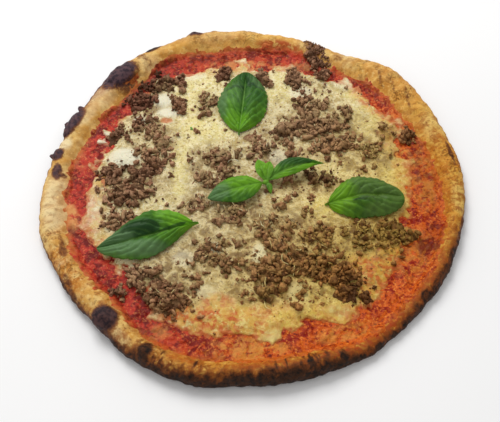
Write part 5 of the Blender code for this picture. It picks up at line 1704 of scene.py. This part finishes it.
mince, shreds = {}, {}
for number, (region, core) in enumerate(cores.items()):
    mince[region] = scatter_over(core, f"mince_crumbs_{region}", heap_tree, {"Seed": number + 3})
    x, y, _, _ = plan(points_of(core))
    paint(core, "shreds", SHRED_SHARE * patches(x, y, MINCE_CHEESY))
    sizes = SHRED_SIZES | {"Seed": number + 31}
    shreds[region] = scatter_over(core, f"cheese_shreds_{region}", shred_tree, sizes)
    # This paints only the share of painted warm light.
    paint_spots(shreds[region])
    core.data.materials.append(mince_finish)
    # Painted shade: the cores show between the crumbs, and are darkened as if in their shadow.
    paint(core, "core_shade", np.ones(len(core.data.vertices)))
for piece in (*cores.values(), *mince.values()):
    paint_mince_spots(piece)

# %% [markdown]
# ## Loose crumbs
#
# Between the heaps, crumbs lie half sunk in the cheese, and around them are flecks no bigger
# than a pinhead. They are spread by the same tree, over the cheese, where a painted number says
# how thickly: most just outside a heap, and the rest in named places. A few lie on the open
# sauce, and one heap has spilled over the rim.

# %% Loose crumbs on the cheese
LOOSE_CRUMBS = (
    (-103, 50, 12, 13, 0, 0.5), (-52, 50, 9, 11, 0, 0.22), (-34, 58, 8, 9, 0, 0.25), (-15, 40, 16, 11, 0, 0.5),
    (-25, 18, 22, 19, 0, 0.8), (5, 32, 11, 18, 0, 0.9), (24, 80, 9, 9, 0, 0.3), (50, 80, 13, 12, 0, 0.9),
    (72, 68, 6, 10, 0, 0.9), (40, 62, 12, 10, 0, 0.7), (18, 56, 14, 11, 0, 0.7), (63, 42, 19, 14, 0, 0.8),
    (32, 38, 14, 9, 0, 0.7), (94, 30, 15, 16, 0, 0.5), (102, 52, 9, 8, 0, 0.5), (67, 97, 8, 7, 0, 0.7),
    (52, 100, 9, 9, 0, 0.4), (89, 64, 6, 4, 0, 0.3), (52, 10, 13, 9, 0, 0.9), (30, 2, 16, 11, 0, 0.5),
    (30, -5, 30, 6, 0, 0.35), (28, -35, 24, 10, 0, 0.9), (88, -43, 28, 15, 0, 0.9), (30, -72, 36, 26, 0, 1.0),
    (75, -90, 10, 9, 0, 1.0), (102, -68, 12, 7, 0, 0.4), (-90, -4, 21, 12, 0, 0.9), (-98, -29, 13, 11, 0, 0.8),
    (-42, -16, 17, 9, 0, 0.6), (-20, -27, 16, 8, 0, 0.7), (-20, -62, 21, 17, 0, 0.8), (-60, -87, 24, 22, 0, 0.9),
    (-87, -91, 12, 4, 0, 0.7), (-5, -86, 7, 11, 0, 0.8), (-22, 108, 8, 12, 0, 0.8), (8, 104, 7, 14, 0, 0.7),
    (34, 106, 9, 14, 0, 0.8), (56, 118, 8, 14, 10, 0.8), (-36, 80, 10, 14, 0, 0.7), (-56, 78, 6, 8, 0, 0.6),
    (-68, 98, 14, 12, 0, 0.8), (-88, 80, 14, 16, 0, 0.9), (-76, 40, 15, 22, 0, 0.9), (66, -56, 16, 10, 0, 0.4),
    (42, 44, 30, 12, 0, 1.0), (38, 32, 10, 10, 0, 0.9), (-60, 60, 12, 8, 0, 0.2), (-30, 48, 14, 10, 0, 0.2),
    (84, 82, 10, 8, 0, 0.15), (14, -14, 14, 6, 0, 0.3), (26, -12, 30, 12, 0, 0.45), (88, -62, 22, 9, -10, 0.4),
    (80, -76, 10, 8, 0, 0.35), (20, -104, 24, 5, 0, 0.12), (-74, -14, 12, 6, 0, 0.2), (84, 10, 14, 6, 0, 0.4),
    (62, 22, 12, 8, 0, 0.35),
)  # fmt: skip
NEAR = 1.1  # how far crumbs lie round a heap, as a share of its own size
FEWEST_FLECKS = 0.01  # as a share of the full density, anywhere on the cheese
LOOSE_SIZES = {
    "Density": 320000.0, "Smallest": 0.9, "Largest": 3.3, "Skew": 1.4, "Lift": 0.0004, "Seed": 21,
}  # fmt: skip
FLECK_SIZES = {"Spacing": 0.0016, "Density": 300000.0, "Smallest": 0.3, "Largest": 0.9, "Seed": 25}

x, y, angle, radius = plan(points_of(cheese))
on_cheese = radius < cheese_radius(angle) + 2
patchy = 0.35 + 0.65 * smooth_step(-0.25, 0.25, waves(x, y, 9.0, 15.5, 2))
near_heaps = np.zeros(len(x))
for heap in MINCE_HEAPS.values():
    around_heap = [(hx, hy, NEAR * a, NEAR * b, turn, 0.5) for hx, hy, a, b, turn, _ in heap]
    near_heaps = np.maximum(near_heaps, patches(x, y, around_heap))
closed = 1 - 0.9 * gap_share(x, y)
named = patches(x, y, LOOSE_CRUMBS) * patchy
paint(cheese, "loose", np.maximum(near_heaps, named) * on_cheese * closed)
paint(cheese, "flecks", np.maximum(FEWEST_FLECKS, named) * on_cheese * (0.4 + 0.6 * closed))
loose = scatter_over(cheese, "mince_loose_crumbs", loose_tree, LOOSE_SIZES)
flecks = scatter_over(cheese, "mince_flecks", fleck_tree, FLECK_SIZES)

# %% Crumbs on the rim and on the open sauce
RIM_CRUMBS = ((52, 140, 5, 9, 20, 1.5), (53, 130, 6, 9, 15, 1.5), (57, 123, 7, 9, 0, 1.2))
RIM_SIZES = {"Spacing": 0.0018, "Density": 700000.0, "Smallest": 0.9, "Largest": 1.7, "Skew": 1.0, "Seed": 27}
SAUCE_CRUMBS = (
    (-90, 98, 22, 7, 48, 1.2), (-104, 82, 10, 5, 55, 0.7), (-94, -92, 12, 5, 0, 1.0), (121, 49, 6, 9, 0, 0.6),
    (-68, 112, 12, 5, 30, 0.6),
)  # fmt: skip
SAUCE_SIZES = {"Density": 300000.0, "Smallest": 0.9, "Largest": 2.8, "Seed": 29}

points = points_of(dough)
x, y, angle, radius = plan(points)
on_rim = (rim_radius(angle) - radius > 1.5) * (points[:, 2] > 4)
paint(dough, "loose", patches(x, y, RIM_CRUMBS) * on_rim)
rim_crumbs = scatter_over(dough, "mince_rim_crumbs", loose_tree, RIM_SIZES)
points = points_of(sauce)
x, y, angle, radius = plan(points)
open_top = (points[:, 2] > height_on(on_dough, x, y, DOUGH_FLOOR) - 0.3) * (radius > cheese_radius(angle) - 4)
paint(sauce, "loose", patches(x, y, SAUCE_CRUMBS) * open_top * (radius < sauce_radius(angle) + 2))
sauce_crumbs = scatter_over(sauce, "mince_sauce_crumbs", loose_tree, SAUCE_SIZES)
for piece in (loose, flecks, rim_crumbs, sauce_crumbs):
    paint_mince_spots(piece)

# %% [markdown]
# ## Threads of cheese
#
# Melted cheese that was pulled apart sets as short threads over the mince. A thread could be a
# curve with a round section, but it has to lie on the crumbs, wherever they are. So each is a
# thin tube through a few places on the plan, and rays dropped from above give its height.

# %% Threads of cheese
# Places on the plan that each thread passes through.
THREADS = (
    ((5, -24), (5.5, -31), (7, -37), (9, -39)), ((22, -57), (20.5, -62), (21, -66), (26, -69)),
    ((29, -70), (28, -77)), ((35, -54), (33, -58), (29, -58)), ((8, -96), (9, -101), (13, -103)),
    ((48, -52), (53, -55)), ((-20, 20), (-14, 23), (-9, 21)),
)  # fmt: skip
THREAD_RADIUS = 0.38
THREAD_SIDES = 6
THREAD_LIFT = 2.2  # above the heap's core, so that it lies on the crumbs


def thread_rings(places, on_heaps):
    """A round thread that thins to both ends."""
    middle = smooth_through(places, 5)
    height = height_on(on_heaps, middle[:, 0], middle[:, 1], SAUCE_LEVEL) + THREAD_LIFT
    share = np.linspace(0, 1, len(middle))
    height -= THREAD_LIFT * (2 * share - 1) ** 4
    ahead = np.gradient(middle, axis=0)
    ahead /= np.hypot(*ahead.T)[:, None]
    turn = np.linspace(0, TAU, THREAD_SIDES, endpoint=False)
    thick = THREAD_RADIUS * (1 - 0.6 * np.abs(2 * share - 1) ** 3)
    rings = []
    for (x, y), z, (ahead_x, ahead_y), r in zip(middle, height, ahead, thick):
        across, up = r * np.cos(turn), r * np.sin(turn)
        rings.append(np.stack([x - ahead_y * across, y + ahead_x * across, z + up], axis=-1))
    return rings


on_heaps = surface_of(cheese, *cores.values())
made = [ring_solid(f"thread_{n}", thread_rings(places, on_heaps)) for n, places in enumerate(THREADS)]
threads, *others = made
join_on(threads, others)
threads.name = "cheese_threads"
threads.data.materials.append(cheese_finish)
paint(threads, "white", np.full(len(threads.data.vertices), 0.6))
# This paints only the share of painted warm light.
paint_spots(threads)
print("threads:", len(THREADS))

# %% [markdown]
# ## Hand over to the frame
#
# Every piece rides on the pizza's one body, and the solids that it stands for are hidden. The
# helpers that only served the trees are removed.

# %% Rides and replacements
for helper in helpers:
    bpy.data.objects.remove(helper)


def hand_over(piece, slot, *nodes):
    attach(piece, "root")
    if nodes:
        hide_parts(*nodes)


hand_over(dough, "crust", "crust")
hand_over(sauce, "tomato_sauce", "sauce")
hand_over(cheese, "cheese", "cheese")
for blade, node in zip(leaves, LEAVES):
    hand_over(blade, "basil", node)
for leaflet in leaflets:
    hand_over(leaflet, "basil", "basil_sprig")
for region, heaps in REGIONS.items():
    nodes = ["mince_" + heap for heap in heaps]
    hand_over(cores[region], "mince", *nodes)
    hand_over(mince[region], "mince", *nodes)
    hand_over(shreds[region], "cheese")
for piece in (loose, flecks, rim_crumbs, sauce_crumbs):
    hand_over(piece, "mince")
hand_over(threads, "cheese")
hand_over(herb_fleck, "basil")
